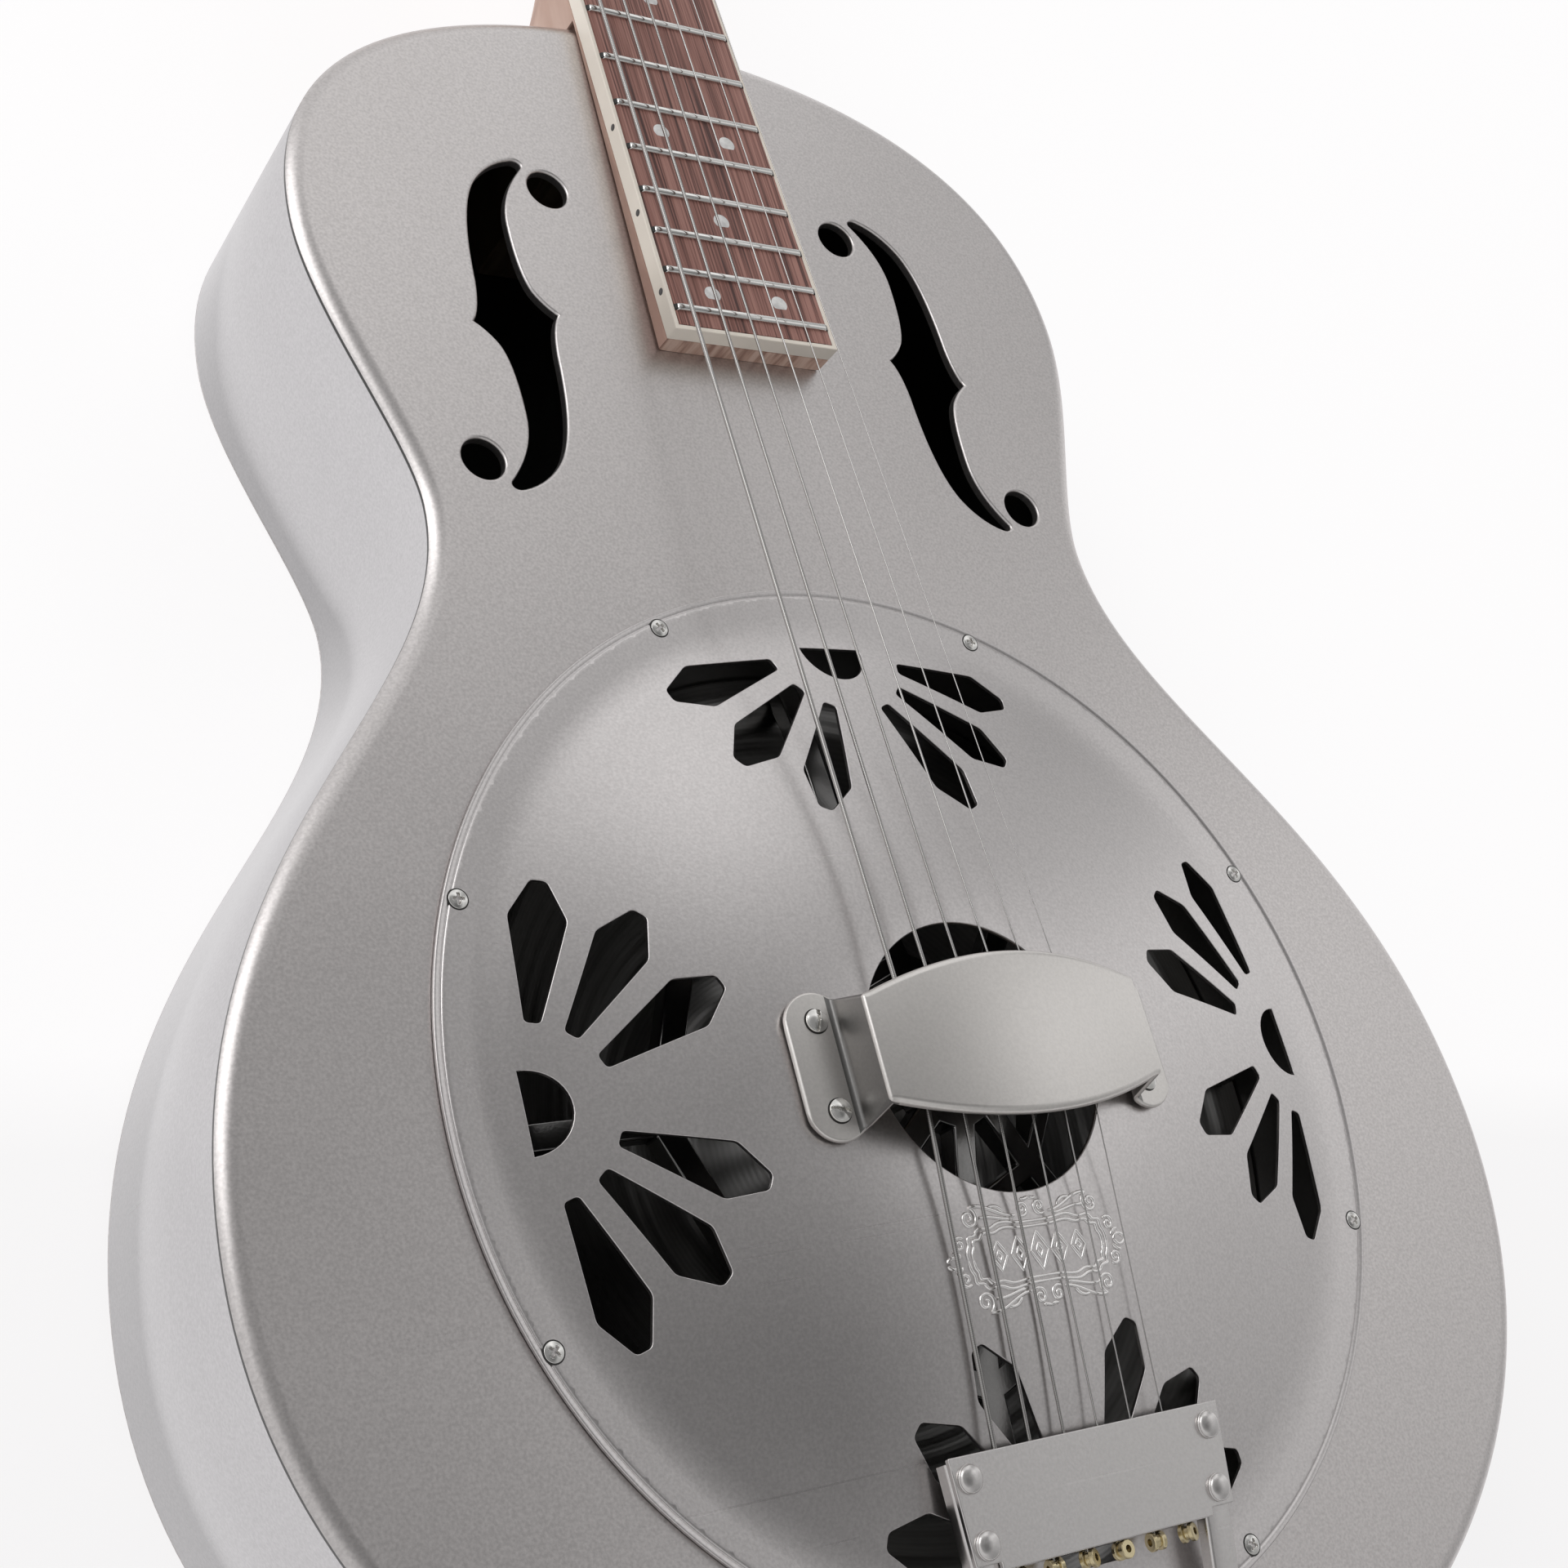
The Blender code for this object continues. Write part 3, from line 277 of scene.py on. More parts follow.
def piece(name, shape, look, stands_for=(), body=ROOT, sharp=35.0, normals=None):
    """A visible mesh from millimetre points, riding on a body."""
    verts, faces = shape
    material, slot = LOOKS[look]
    mesh = bpy.data.meshes.new(name)
    mesh.from_pydata([(x * MM, y * MM, z * MM) for x, y, z in verts], [], faces)
    if normals is None:
        tidy = bmesh.new()
        tidy.from_mesh(mesh)
        bmesh.ops.recalc_face_normals(tidy, faces=tidy.faces)
        tidy.to_mesh(mesh)
        tidy.free()
    mesh.shade_smooth()
    if normals is None:
        mesh.set_sharp_from_angle(angle=math.radians(sharp))
    else:
        mesh.normals_split_custom_set_from_vertices(normals)
    mesh.materials.append(material)
    item = bpy.data.objects.new(name, mesh)
    bpy.context.scene.collection.objects.link(item)
    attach(item, body)
    if stands_for:
        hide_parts(*stands_for)
    return item


def add_look(item, look, polygons):
    """Give some of an object's faces a second material."""
    item.data.materials.append(LOOKS[look][0])
    for polygon in polygons:
        polygon.material_index = 1


def loft(rings, closed=False):
    """Skin rings of equal length, capped at both ends unless the loft closes on itself."""
    count = len(rings[0])
    verts = [tuple(point) for ring in rings for point in ring]
    faces = []
    spans = len(rings) if closed else len(rings) - 1
    for i in range(spans):
        a = i * count
        b = ((i + 1) % len(rings)) * count
        for j in range(count):
            k = (j + 1) % count
            faces.append((a + j, a + k, b + k, b + j))
    if not closed:
        faces.append(tuple(range(count)))
        faces.append(tuple(range(len(verts) - count, len(verts))))
    return verts, faces


def merge(shapes):
    """Several shapes as one."""
    verts = []
    faces = []
    for part_verts, part_faces in shapes:
        start = len(verts)
        verts.extend(part_verts)
        faces.extend(tuple(index + start for index in face) for face in part_faces)
    return verts, faces


def placed(shape, matrix):
    verts, faces = shape
    return [tuple(matrix @ Vector(v)) for v in verts], faces


def around(count):
    """Angles evenly spaced round a circle."""
    return [2.0 * pi * i / count for i in range(count)]


def ring_points(radius, count, centre=(0.0, 0.0)):
    return [(centre[0] + radius * cos(a), centre[1] + radius * sin(a)) for a in around(count)]


def at_height(points, z):
    return [(x, y, z) for x, y in points]


def turned(profile, count=48, centre=(0.0, 0.0)):
    """A solid turned about a vertical line, from (radius, z) pairs."""
    return loft([at_height(ring_points(radius, count, centre), z) for radius, z in profile])


def turned_ring(profile, count=160):
    """A ring turned about the Z axis from a closed (radius, z) section."""
    return loft([[(r * cos(a), r * sin(a), z) for r, z in profile] for a in around(count)],
                closed=True)


def bezier(points, count):
    """Points along a cubic curve, without its last one."""
    start, first, second, end = points
    run = []
    for i in range(count):
        t = i / count
        s = 1.0 - t
        run.append(tuple(s ** 3 * a + 3 * s * s * t * b + 3 * s * t * t * c + t ** 3 * d
                         for a, b, c, d in zip(start, first, second, end)))
    return run


def curves(points, counts):
    """Joined cubic curves without the last point; neighbours share an end, with two handles between ends."""
    return [spot for i, count in enumerate(counts) for spot in bezier(points[3 * i:3 * i + 4], count)]


def densify(points, step):
    """A closed outline with extra points, so that no side is longer than a step."""
    dense = []
    for i, (x, y) in enumerate(points):
        ahead = points[(i + 1) % len(points)]
        parts = max(1, math.ceil(math.dist((x, y), ahead) / step))
        dense += [(x + (ahead[0] - x) * k / parts, y + (ahead[1] - y) * k / parts) for k in range(parts)]
    return dense


def round_corner(start, corner, end, steps):
    """Points of a short curve round a corner."""
    return [tuple((1 - t) ** 2 * start + 2 * t * (1 - t) * corner + t * t * end)
            for t in (k / steps for k in range(steps + 1))]


def fillet(points, radius, steps=4):
    """A closed outline with its corners rounded by short curves."""
    rounded = []
    for i, point in enumerate(points):
        corner = Vector(point)
        before = Vector(points[i - 1]) - corner
        after = Vector(points[(i + 1) % len(points)]) - corner
        reach = min(radius, 0.45 * before.length, 0.45 * after.length)
        rounded += round_corner(corner + before.normalized() * reach, corner,
                                corner + after.normalized() * reach, steps)
    return rounded


def smooth_step(low, high, value):
    share = min(max((value - low) / (high - low), 0.0), 1.0)
    return share * share * (3.0 - 2.0 * share)


# ---------------------------------------------------------------- sheet metal

def wound(points, clockwise):
    """The same outline, running clockwise or anticlockwise."""
    area = sum(a[0] * b[1] - b[0] * a[1] for a, b in zip(points, points[1:] + points[:1]))
    return np.array(points if (area < 0.0) == clockwise else points[::-1])


def offset_loop(loop, distance):
    """A loop moved to the left of its own run, and the leftward directions at its points."""
    into = loop - np.roll(loop, 1, axis=0)
    out = np.roll(loop, -1, axis=0) - loop
    into /= np.linalg.norm(into, axis=1)[:, None]
    out /= np.linalg.norm(out, axis=1)[:, None]
    left = np.stack((-into[:, 1], into[:, 0]), axis=1)
    middle = left + np.stack((-out[:, 1], out[:, 0]), axis=1)
    middle /= np.linalg.norm(middle, axis=1)[:, None]
    reach = distance / np.maximum((middle * left).sum(axis=1), 0.5)
    return loop + middle * reach[:, None], middle


def inside(points, loops):
    """Which points lie in the material: inside the outer loop and outside every hole."""
    x = points[:, 0:1]
    y = points[:, 1:2]
    crossings = np.zeros(len(points), int)
    for loop in loops:
        ahead = np.roll(loop, -1, axis=0)
        rise = ahead[:, 1] - loop[:, 1]
        rise[rise == 0.0] = 1e-12
        spans = (loop[:, 1] > y) != (ahead[:, 1] > y)
        at = loop[:, 0] + (y - loop[:, 1]) * (ahead[:, 0] - loop[:, 0]) / rise
        crossings += (spans & (x < at)).sum(axis=1)
    return crossings % 2 == 1


def cut_edge(radius, thickness, steps=4):
    """Section of a plain sheet edge with both corners rounded: (inset, drop, outward, upward) rows."""
    rows = []
    for bottom in (False, True):
        for i in range(steps + 1):
            angle = pi / 2.0 * i / steps + (pi / 2.0 if bottom else 0.0)
            drop = (thickness - radius if bottom else radius) - radius * cos(angle)
            rows.append((radius * (1.0 - sin(angle)), drop, sin(angle), cos(angle)))
    return rows


def turned_edge(radius, depth, thickness, steps=6, turn=pi / 2.0):
    """Section of a sheet edge bent down through an angle."""
    reach = radius * sin(turn)
    inner = radius - thickness
    last = turn if radius - inner * cos(turn) < depth else math.acos((radius - depth) / inner)
    back = reach - inner * sin(last)
    rows = []
    for i in range(steps + 1):
        angle = turn * i / steps
        rows.append((reach - radius * sin(angle), radius * (1.0 - cos(angle)),
                     sin(angle), cos(angle)))
    soft = 0.12 * thickness
    rows += [(0.0, depth - soft, 1.0, 0.0), (soft, depth, 0.0, -1.0), (back - soft, depth, 0.0, -1.0),
             (back, depth - soft, -1.0, 0.0)]
    for i in range(steps, -1, -1):
        angle = last * i / steps
        rows.append((reach - inner * sin(angle), radius - inner * cos(angle),
                     -sin(angle), -cos(angle)))
    return rows


def flat(points):
    """The height function of a flat sheet."""
    return np.zeros(len(points))


def surface_normals(height, points):
    """Upward normals of a height function."""
    step = 0.02
    dx = (height(points + (step, 0.0)) - height(points - (step, 0.0))) / (2.0 * step)
    dy = (height(points + (0.0, step)) - height(points - (0.0, step))) / (2.0 * step)
    normals = np.stack((-dx, -dy, np.ones(len(points))), axis=1)
    return normals / np.linalg.norm(normals, axis=1)[:, None]


def keep_clear(points, loops, gap):
    """The points that lie in the material and away from its edges."""
    points = points[inside(points, loops)]
    for loop in loops:
        near = np.linalg.norm(points[:, None, :] - loop[None, :, :], axis=2).min(axis=1)
        points = points[near > gap]
    return points


def triangles(points, loops):
    """Triangles over the points, held to the loops, which come first among them."""
    edges = []
    start = 0
    for loop in loops:
        count = len(loop)
        edges += [(start + i, start + (i + 1) % count) for i in range(count)]
        start += count
    made = delaunay_2d_cdt([Vector(p) for p in points], edges, [], 0, 1e-6)
    source = [origins[0] for origins in made[3]]
    faces = np.array([[source[i] for i in face] for face in made[2]])
    corners = points[faces]
    faces = faces[inside(corners.mean(axis=1), loops)]
    a, b, c = points[faces[:, 0]], points[faces[:, 1]], points[faces[:, 2]]
    area = (b[:, 0] - a[:, 0]) * (c[:, 1] - a[:, 1]) - (c[:, 0] - a[:, 0]) * (b[:, 1] - a[:, 1])
    faces[area < 0.0] = faces[area < 0.0][:, ::-1]
    return faces


def sheet(name, look, edges, thickness, height=flat, filling=None, gap=1.0, matrix=None, lining=None,
          **extra):
    """A closed sheet with finished edges.

    edges holds (outline, section) pairs, the outer outline first and then the holes. filling holds further
    points of the surface, and height gives the top face's height over (x, y). lining is the look of the
    underside.
    """
    outlines = [wound(outline, clockwise=i > 0) for i, (outline, _) in enumerate(edges)]
    verts = []
    normals = []
    faces = []
    firsts = []
    lasts = []
    start = 0
    for outline, (_, section) in zip(outlines, edges):
        count = len(outline)
        for row, (inset, drop, outward, upward) in enumerate(section):
            ring, left = offset_loop(outline, inset)
            up = surface_normals(height, ring)
            side = np.concatenate((-left, np.zeros((count, 1))), axis=1)
            verts.append(np.column_stack((ring, height(ring) - drop)))
            normals.append(side * outward + up * upward)
            if row:
                a = start + (row - 1) * count
                b = start + row * count
                faces += [(a + j, b + j, b + (j + 1) % count, a + (j + 1) % count) for j in range(count)]
        firsts.append(np.arange(start, start + count))
        lasts.append(np.arange(start, start + count) + (len(section) - 1) * count)
        start += count * len(section)
    loops = [offset_loop(outline, section[0][0])[0] for outline, (_, section) in zip(outlines, edges)]
    inner = np.zeros((0, 2)) if filling is None else keep_clear(np.asarray(filling), loops, gap)
    surface = np.concatenate(loops + [inner])
    top = np.concatenate(firsts + [np.arange(start, start + len(inner))])
    bottom = np.concatenate(lasts + [np.arange(start + len(inner), start + 2 * len(inner))])
    if len(inner):
        up = surface_normals(height, inner)
        verts += [np.column_stack((inner, height(inner))), np.column_stack((inner, height(inner) - thickness))]
        normals += [up, -up]
    filled = triangles(surface, loops)
    faces += [tuple(row) for row in top[filled].tolist()]
    faces += [tuple(row[::-1]) for row in bottom[filled].tolist()]
    points = np.concatenate(verts)
    directions = np.concatenate(normals)
    if matrix is not None:
        turn = np.array(matrix.to_3x3())
        points = points @ turn.T + np.array(matrix.translation)
        directions = directions @ turn.T
    item = piece(name, (points.tolist(), faces), look, normals=directions.tolist(), **extra)
    if lining:
        add_look(item, lining, item.data.polygons[-len(filled):])


def grid(low, high, step):
    """Points of a triangular grid over a rectangle."""
    points = []
    rows = int((high[1] - low[1]) / (step * 0.866)) + 1
    for row in range(rows):
        shift = 0.5 * step if row % 2 else 0.0
        columns = int((high[0] - low[0]) / step)
        points += [(low[0] + shift + step * i, low[1] + 0.866 * step * row) for i in range(columns)]
    return np.array(points)


# ---------------------------------------------------------------- body

def body_outline(count=48):
    """The body's closed outline."""
    ux, uy = UPPER_BOUT
    wx, wy = WAIST
    lx, ly = LOWER_BOUT
    half = curves(((0.0, TOP_Y), (48.9, TOP_Y), (ux, uy + 70.0), (ux, uy), (ux, uy - 27.0), (wx, wy + 19.0),
                   (wx, wy), (wx, wy - 54.0), (lx, ly + 93.0), (lx, ly), (lx, ly - 88.0), (97.0, TAIL_Y),
                   (0.0, TAIL_Y)), (count, count // 2, count, count))
    return half + [(0.0, TAIL_Y)] + [(-x, y) for x, y in reversed(half[1:])]


def f_hole_outline():
    """One f-hole about its own centre: half of it, then the same turned half a turn."""
    half = curves(((-12.8, -2.7), (-10.8, 0.0), (-9.9, 5.0), (-9.5, 10.0), (-9.2, 20.0), (-8.2, 32.0), (-4.5, 40.0),
                   (-2.2, 45.3), (3.5, 50.6), (9.5, 52.3), (11.5, 53.0), (13.3, 52.2), (12.8, 50.6), (9.3, 46.5),
                   (4.0, 39.5), (3.9, 30.0), (3.8, 22.0), (4.3, 14.0), (6.5, 9.5), (8.2, 6.6), (10.6, 4.2),
                   (12.8, 2.7)), (6, 14, 10, 8, 12, 10, 6))
    return half + [(-x, -y) for x, y in half]


def make_body():
    rolled = turned_edge((EDGE_DEPTH - 0.2) / (1.0 - cos(EDGE_TURN)), EDGE_DEPTH, SHEET, 10, EDGE_TURN)
    lip = turned_edge(0.85, 2.8, 0.75, 5)
    edges = [(body_outline(), rolled), (ring_points(CONE_OPENING_R, 200), cut_edge(0.3, SHEET))]
    cx, cy = F_HOLE_CENTRE
    ex, ey = F_EYE_OFFSET
    for side in (-1.0, 1.0):
        edges.append(([(side * (cx - x), cy + y) for x, y in f_hole_outline()], lip))
        for end in (-1.0, 1.0):
            edges.append((ring_points(F_EYE_R, 48, (side * (cx - end * ex), cy + end * ey)), lip))
    filling = grid((TOP_LOW.x, TAIL_Y), (TOP_HIGH.x, TOP_Y), 9.0)
    # The undersides take the near-black inner plate: painted shade inside the body
    plate = {"filling": filling, "gap": 3.0, "lining": "inner_plate"}
    sheet("top_plate", "body_nickel", edges, SHEET, matrix=Matrix.Translation((0.0, 0.0, BODY_DEPTH)),
          stands_for=["body_top"], **plate)
    sheet("back_plate", "body_nickel", edges[:1], SHEET, matrix=Matrix.Rotation(pi, 4, "Y"),
          stands_for=["body_back"], **plate)
    make_sides()


def make_sides():
    """The bent side band, and a black band in the seam between it and the top: painted shadow under the rolled
    edge.
    """
    outline = wound(body_outline(72), clockwise=False)
    inner = offset_loop(outline, SHEET)[0]
    low = EDGE_DEPTH
    high = BODY_DEPTH - EDGE_DEPTH - SEAM
    over = high + SEAM + 0.08
    seam = ((0.03, high), (0.03, over), (SHEET - 0.2, over), (SHEET - 0.2, high))
    rings = [at_height(offset_loop(outline, inset)[0], z) for inset, z in seam]
    piece("edge_seam_shadow", loft(rings, closed=True), "black")
    rings = [at_height(offset_loop(loop, inset)[0], z) for loop, inset, z in (
        (outline, 0.25, low), (outline, 0.0, low + 0.3), (outline, 0.0, high - 0.3), (outline, 0.25, high),
        (inner, 0.0, high), (inner, 0.0, low))]
    sides = piece("rim_sides", loft(rings, closed=True), "side_nickel", ["body_sides"], sharp=50.0)
    # The sides' inner face takes the near-black inner plate: painted shade inside the body
    add_look(sides, "inner_plate", sides.data.polygons[4 * len(outline):5 * len(outline)])


# ---------------------------------------------------------------- coverplate

def dome_profile(radius):
    """How far the coverplate stands above its rim, before its foot is eased."""
    share = np.clip((DOME_R - radius) / (DOME_R - HOLE_R), 0.0, 1.0)
    return DOME_HEIGHT * (1.0 - (1.0 - share) ** DOME_POWER)


def dome(radius):
    """Coverplate height over its rim, with a small radius where the dome meets the rim."""
    width = 4.5
    return sum(dome_profile(radius + width * k) for k in (-1.0, -0.5, 0.0, 0.5, 1.0)) / 5.0


ORNAMENT_CENTRE = (0.0, -47.4)
RIDGE_R = 0.50
# The pressed line round the rim: its distance from the edge, depth and half width
RIM_LINE = 1.75
RIM_LINE_DEPTH = 0.28
RIM_LINE_WIDTH = 0.35


def spiral(centre, size, turns, phase, hand):
    """A scroll winding from its eye outwards."""
    points = []
    for share in (i / 59 for i in range(60)):
        angle = phase + hand * 2.0 * pi * turns * (1.0 - share)
        reach = size * (0.12 + 0.88 * share)
        points.append((centre[0] + reach * cos(angle), centre[1] + reach * sin(angle)))
    return points


def mirrored(lines):
    """Lines of one quarter, repeated in all four."""
    return [[(sx * x, sy * y) for x, y in line] for line in lines for sx in (-1.0, 1.0) for sy in (-1.0, 1.0)]


def ornament_lines():
    """A scrolled cartouche: a wavy double frame, scrolls, leaves, finials and a row of lozenges."""
    quarter = []
    arc = [pi / 2.0 * i / 60 for i in range(61)]
    for wide, high in ((20.6, 7.2), (19.2, 6.0)):
        quarter.append([(wide * cos(t) ** 0.5 * (1.0 + 0.014 * cos(14.0 * t)),
                         high * sin(t) ** 0.5 * (1.0 + 0.05 * cos(14.0 * t))) for t in arc])
    quarter.append(spiral((18.4, 9.4), 2.5, 1.5, 1.9, 1.0)
                   + bezier(((17.6, 11.8), (13.0, 12.6), (9.6, 8.4), (4.4, 8.6)), 24))
    quarter.append(spiral((2.7, 10.0), 1.9, 1.4, -0.9, -1.0))
    quarter.append(spiral((22.6, 3.9), 1.7, 1.4, 2.4, -1.0))
    for points, count in ((((15.8, 9.0), (12.4, 9.6), (9.4, 7.9), (5.6, 7.9)), 16),
                          (((8.2, 9.6), (9.4, 11.6), (11.4, 11.6), (12.6, 10.9)), 12),
                          (((0.0, 12.4), (1.2, 11.9), (1.8, 11.9), (2.4, 12.3)), 8),
                          (((23.4, 0.0), (24.2, 1.9), (26.2, 1.5), (26.9, 0.0)), 12),
                          (((22.9, 1.1), (23.4, 2.0), (24.4, 2.7), (25.4, 2.4)), 8)):
        quarter.append(bezier(points, count))
    for k in range(3):
        x, wide, high = 6.0 * k, 2.7 - 0.2 * k, 4.4 - 0.5 * k
        for hand in (wide, -wide) if k else (wide,):
            quarter.append([(x + hand, 0.0), (x + 0.5 * hand, 0.5 * high), (x, high)])
            quarter.append([(x + 0.35 * hand, 0.0), (x + 0.18 * hand, 0.2 * high), (x, 0.4 * high)])
    return mirrored(quarter)


def make_ornament():
    """The ornament's raised lines, half sunk in the coverplate, in a lighter nickel that paints a highlight on
    them.
    """
    ridges = []
    for line in ornament_lines():
        points = [(x + ORNAMENT_CENTRE[0], y + ORNAMENT_CENTRE[1]) for x, y in line]
        heights = [COVER_RIM_TOP + float(dome(math.hypot(x, y))) - 0.1 for x, y in points]
        ends = [0.7 * RIDGE_R] + [RIDGE_R] * (len(points) - 2) + [0.7 * RIDGE_R]
        ridges.append(sweep([(x, y, z) for (x, y), z in zip(points, heights)], ends, 10))
    piece("cover_ornament", merge(ridges), "ridge_nickel", sharp=60.0)


def cover_height(points):
    """The dome over the rim, with a fine pressed line round the rim."""
    radius = np.hypot(points[:, 0], points[:, 1])
    return dome(radius) - RIM_LINE_DEPTH * np.exp(-((radius - COVER_R + RIM_LINE) / RIM_LINE_WIDTH) ** 2)


def petal(angle):
    """One petal's outline about its fan's centre, pointing along -X when the angle is 0."""
    points = ((20.5, 1.75), (45.8, 6.6), (55.3, 1.8), (55.3, -1.8), (45.8, -6.6), (20.5, -1.75))
    turn = math.radians(180.0 - angle)
    outline = [(r * cos(turn) - s * sin(turn), r * sin(turn) + s * cos(turn)) for r, s in points]
    return densify(fillet(outline, 1.1), 2.0)


def d_hole():
    """A half-round hole about its fan's centre, bulging along -X."""
    arc = [(-10.2 * sin(pi * i / 20), 9.5 * cos(pi * i / 20)) for i in range(21)]
    return densify(arc, 2.0)


def make_coverplate():
    rim = cut_edge(0.35, SHEET)
    hole = cut_edge(0.22, SHEET, 3)
    edges = [(ring_points(COVER_R, 240), rim), (ring_points(HOLE_R, 96), cut_edge(0.4, SHEET))]
    for quarter in range(4):
        turn = Matrix.Rotation(quarter * pi / 2.0, 2)
        for outline in [petal(angle) for angle in PETAL_ANGLES] + [d_hole()]:
            edges.append(([tuple(turn @ Vector((FAN_R + x, y))) for x, y in outline], hole))
    rings = []
    radius = HOLE_R + 1.5
    while radius < COVER_R - RIM_LINE - 1.0:
        rings += ring_points(radius, int(2.0 * pi * radius / 2.6))
        radius += 2.4
    for step in (-0.7, -0.45, -0.2, 0.0, 0.2, 0.45):
        rings += ring_points(COVER_R - RIM_LINE + step, 420)
    sheet("cover_plate", "cover_nickel", edges, SHEET, cover_height, np.array(rings), 0.9,
          Matrix.Translation((0.0, 0.0, COVER_RIM_TOP)), stands_for=["coverplate"])


# ---------------------------------------------------------------- screws and rivets

def screw_head(radius, rim, crown, cuts, depth, shank):
    """A screw standing on z = 0: a shank, a rim and a crown with cuts, as (turn, half width, half length)."""
    corner = 0.15
    inner = radius - corner
    profile = [(0.45 * radius, -shank), (0.45 * radius, -0.2), (radius - 0.12, 0.0), (radius, 0.12),
               (radius, rim - corner)]
    profile += [(radius - corner * (1.0 - cos(a)), rim - corner * (1.0 - sin(a))) for a in (0.6, 1.1)]
    rings = [at_height(ring_points(r, 72), z) for r, z in profile]
    for r in [inner * (1.0 - k / 24.0) for k in range(24)] + [0.04]:
        ring = []
        for x, y in ring_points(r, 72):
            sunk = 0.0
            for turn, half, reach in cuts:
                across = abs(-x * sin(turn) + y * cos(turn))
                along = abs(x * cos(turn) + y * sin(turn))
                sunk = max(sunk, smooth_step(half + 0.08, half - 0.08, across)
                           * smooth_step(reach + 0.1, reach - 0.1, along))
            ring.append((x, y, rim + crown * (1.0 - (r / inner) ** 2) - depth * sunk))
        rings.append(ring)
    return loft(rings)


def painted_shadow_ring(place, inner, outer, z):
    """A black ring for the shadowed gap round a sunken head: painted shadow."""
    section = [(inner, z - 0.3), (outer, z - 0.3), (outer, z + 0.02), (inner, z + 0.02)]
    return placed(turned_ring(section, 48), Matrix.Translation((*place, 0.0)))


def make_cover_screws():
    for i in range(8):
        angle = (i + 0.5) * 2.0 * pi / 8
        place = (COVER_SCREW_CIRCLE * cos(angle), COVER_SCREW_CIRCLE * sin(angle))
        turn = 0.4 + 0.9 * i
        cuts = [(turn, 0.33, 1.35), (turn + pi / 2.0, 0.33, 1.35)]
        seat = Matrix.Translation((*place, COVER_RIM_TOP - 0.05))
        piece("cover_screw_%d" % (i + 1), placed(screw_head(2.3, 0.30, 0.42, cuts, 0.75, 5.0), seat), "polished",
              ["coverplate_screw_%d" % (i + 1)])
        # A black ring round each head: painted shadow in the gap
        piece("cover_screw_gap_%d" % (i + 1), painted_shadow_ring(place, 2.25, 2.62, COVER_RIM_TOP), "black")


def domed_rivet():
    """A rivet on z = 0: a stepped base under a round dome."""
    profile = [(1.2, -4.0), (1.2, -0.2), (2.9, 0.0), (3.15, 0.0), (3.2, 0.1), (3.2, 0.4), (3.1, 0.48),
               (3.06, 0.6)]
    profile += [(3.08 * cos(a * 0.065), 0.66 + 1.2 * sin(a * 0.065)) for a in range(24)]
    return turned(profile + [(0.05, 1.86)], 72)


# ---------------------------------------------------------------- palm rest

PALM_SHEET = 1.5
PALM_SPAN = 41.1
PALM_CORNER_Z = COVER_RIM_TOP + 28.6
PALM_CROWN = 4.0
PALM_END = 12.6
PALM_SWELL = 7.2
FOOT_X = 47.0
FOOT_HALF_LENGTH = 9.7
FOOT_R = 8.0


def foot_height(x):
    """Underside of the palm rest's foot, on the dome's slope."""
    slope = float(dome_profile(FOOT_X + 4.0) - dome_profile(FOOT_X - 4.0)) / 8.0
    return COVER_RIM_TOP + float(dome_profile(FOOT_X)) + 0.7 + slope * (abs(x) - FOOT_X)


def bend(before, corner, after, radius):
    """Points of a rounded bend at a corner of a path."""
    corner = Vector(corner)
    return round_corner(corner + (Vector(before) - corner).normalized() * radius, corner,
                        corner + (Vector(after) - corner).normalized() * radius, 7)


def palm_line():
    """Half of the palm rest's middle line, from the foot's outer end to the crown."""
    def on_foot(x):
        return x, foot_height(x) + PALM_SHEET / 2.0

    corner = (PALM_SPAN - 0.5, PALM_CORNER_Z - PALM_SHEET / 2.0)
    crown = [(corner[0] * (1.0 - share), corner[1] + PALM_CROWN * (1.0 - (1.0 - share) ** 2))
             for share in (k / 24.0 for k in range(1, 25))]
    end = FOOT_X + FOOT_R
    line = [on_foot(end - FOOT_R * (1.0 - cos(pi / 2.0 * k / 12))) for k in range(13)]
    line += [on_foot(x) for x in (46.2, 45.4, 44.6)]
    line += bend(on_foot(end), on_foot(PALM_SPAN), corner, 2.2)
    return line + bend(on_foot(PALM_SPAN), corner, crown[0], 0.25) + crown


def palm_width(x, z):
    """Half width of the palm rest at a point of its middle line."""
    if z > PALM_CORNER_Z - 4.0:
        share = 1.0 - min(x / PALM_SPAN, 1.0)
        return PALM_END + PALM_SWELL * (1.0 - (1.0 - share) ** 2)
    low = foot_height(PALM_SPAN)
    riser = 11.4 + 1.2 * min(max((z - low - 2.0) / (PALM_CORNER_Z - low - 2.0), 0.0), 1.0)
    reach = min(abs(x - FOOT_X) / FOOT_R, 1.0)
    foot = FOOT_HALF_LENGTH + FOOT_R * math.sqrt(1.0 - reach * reach)
    return max(foot, riser) if x < FOOT_X else foot


def rolled_section(width, thickness, radius, lip):
    """Half of a sheet's section, from its top middle round its edge: (across, up) pairs."""
    half = thickness / 2.0
    points = [(width - radius + radius * sin(a), half - radius + radius * cos(a))
              for a in (pi / 2.0 * k / 6 for k in range(7))]
    soft = 0.3
    foot = -half - lip
    inner = width - thickness
    return points + [(width, foot + soft), (width - soft, foot), (inner + 0.1, foot),
                     (inner - 0.1, -half - max(lip - soft, 0.0)), (inner - 0.4, -half)]


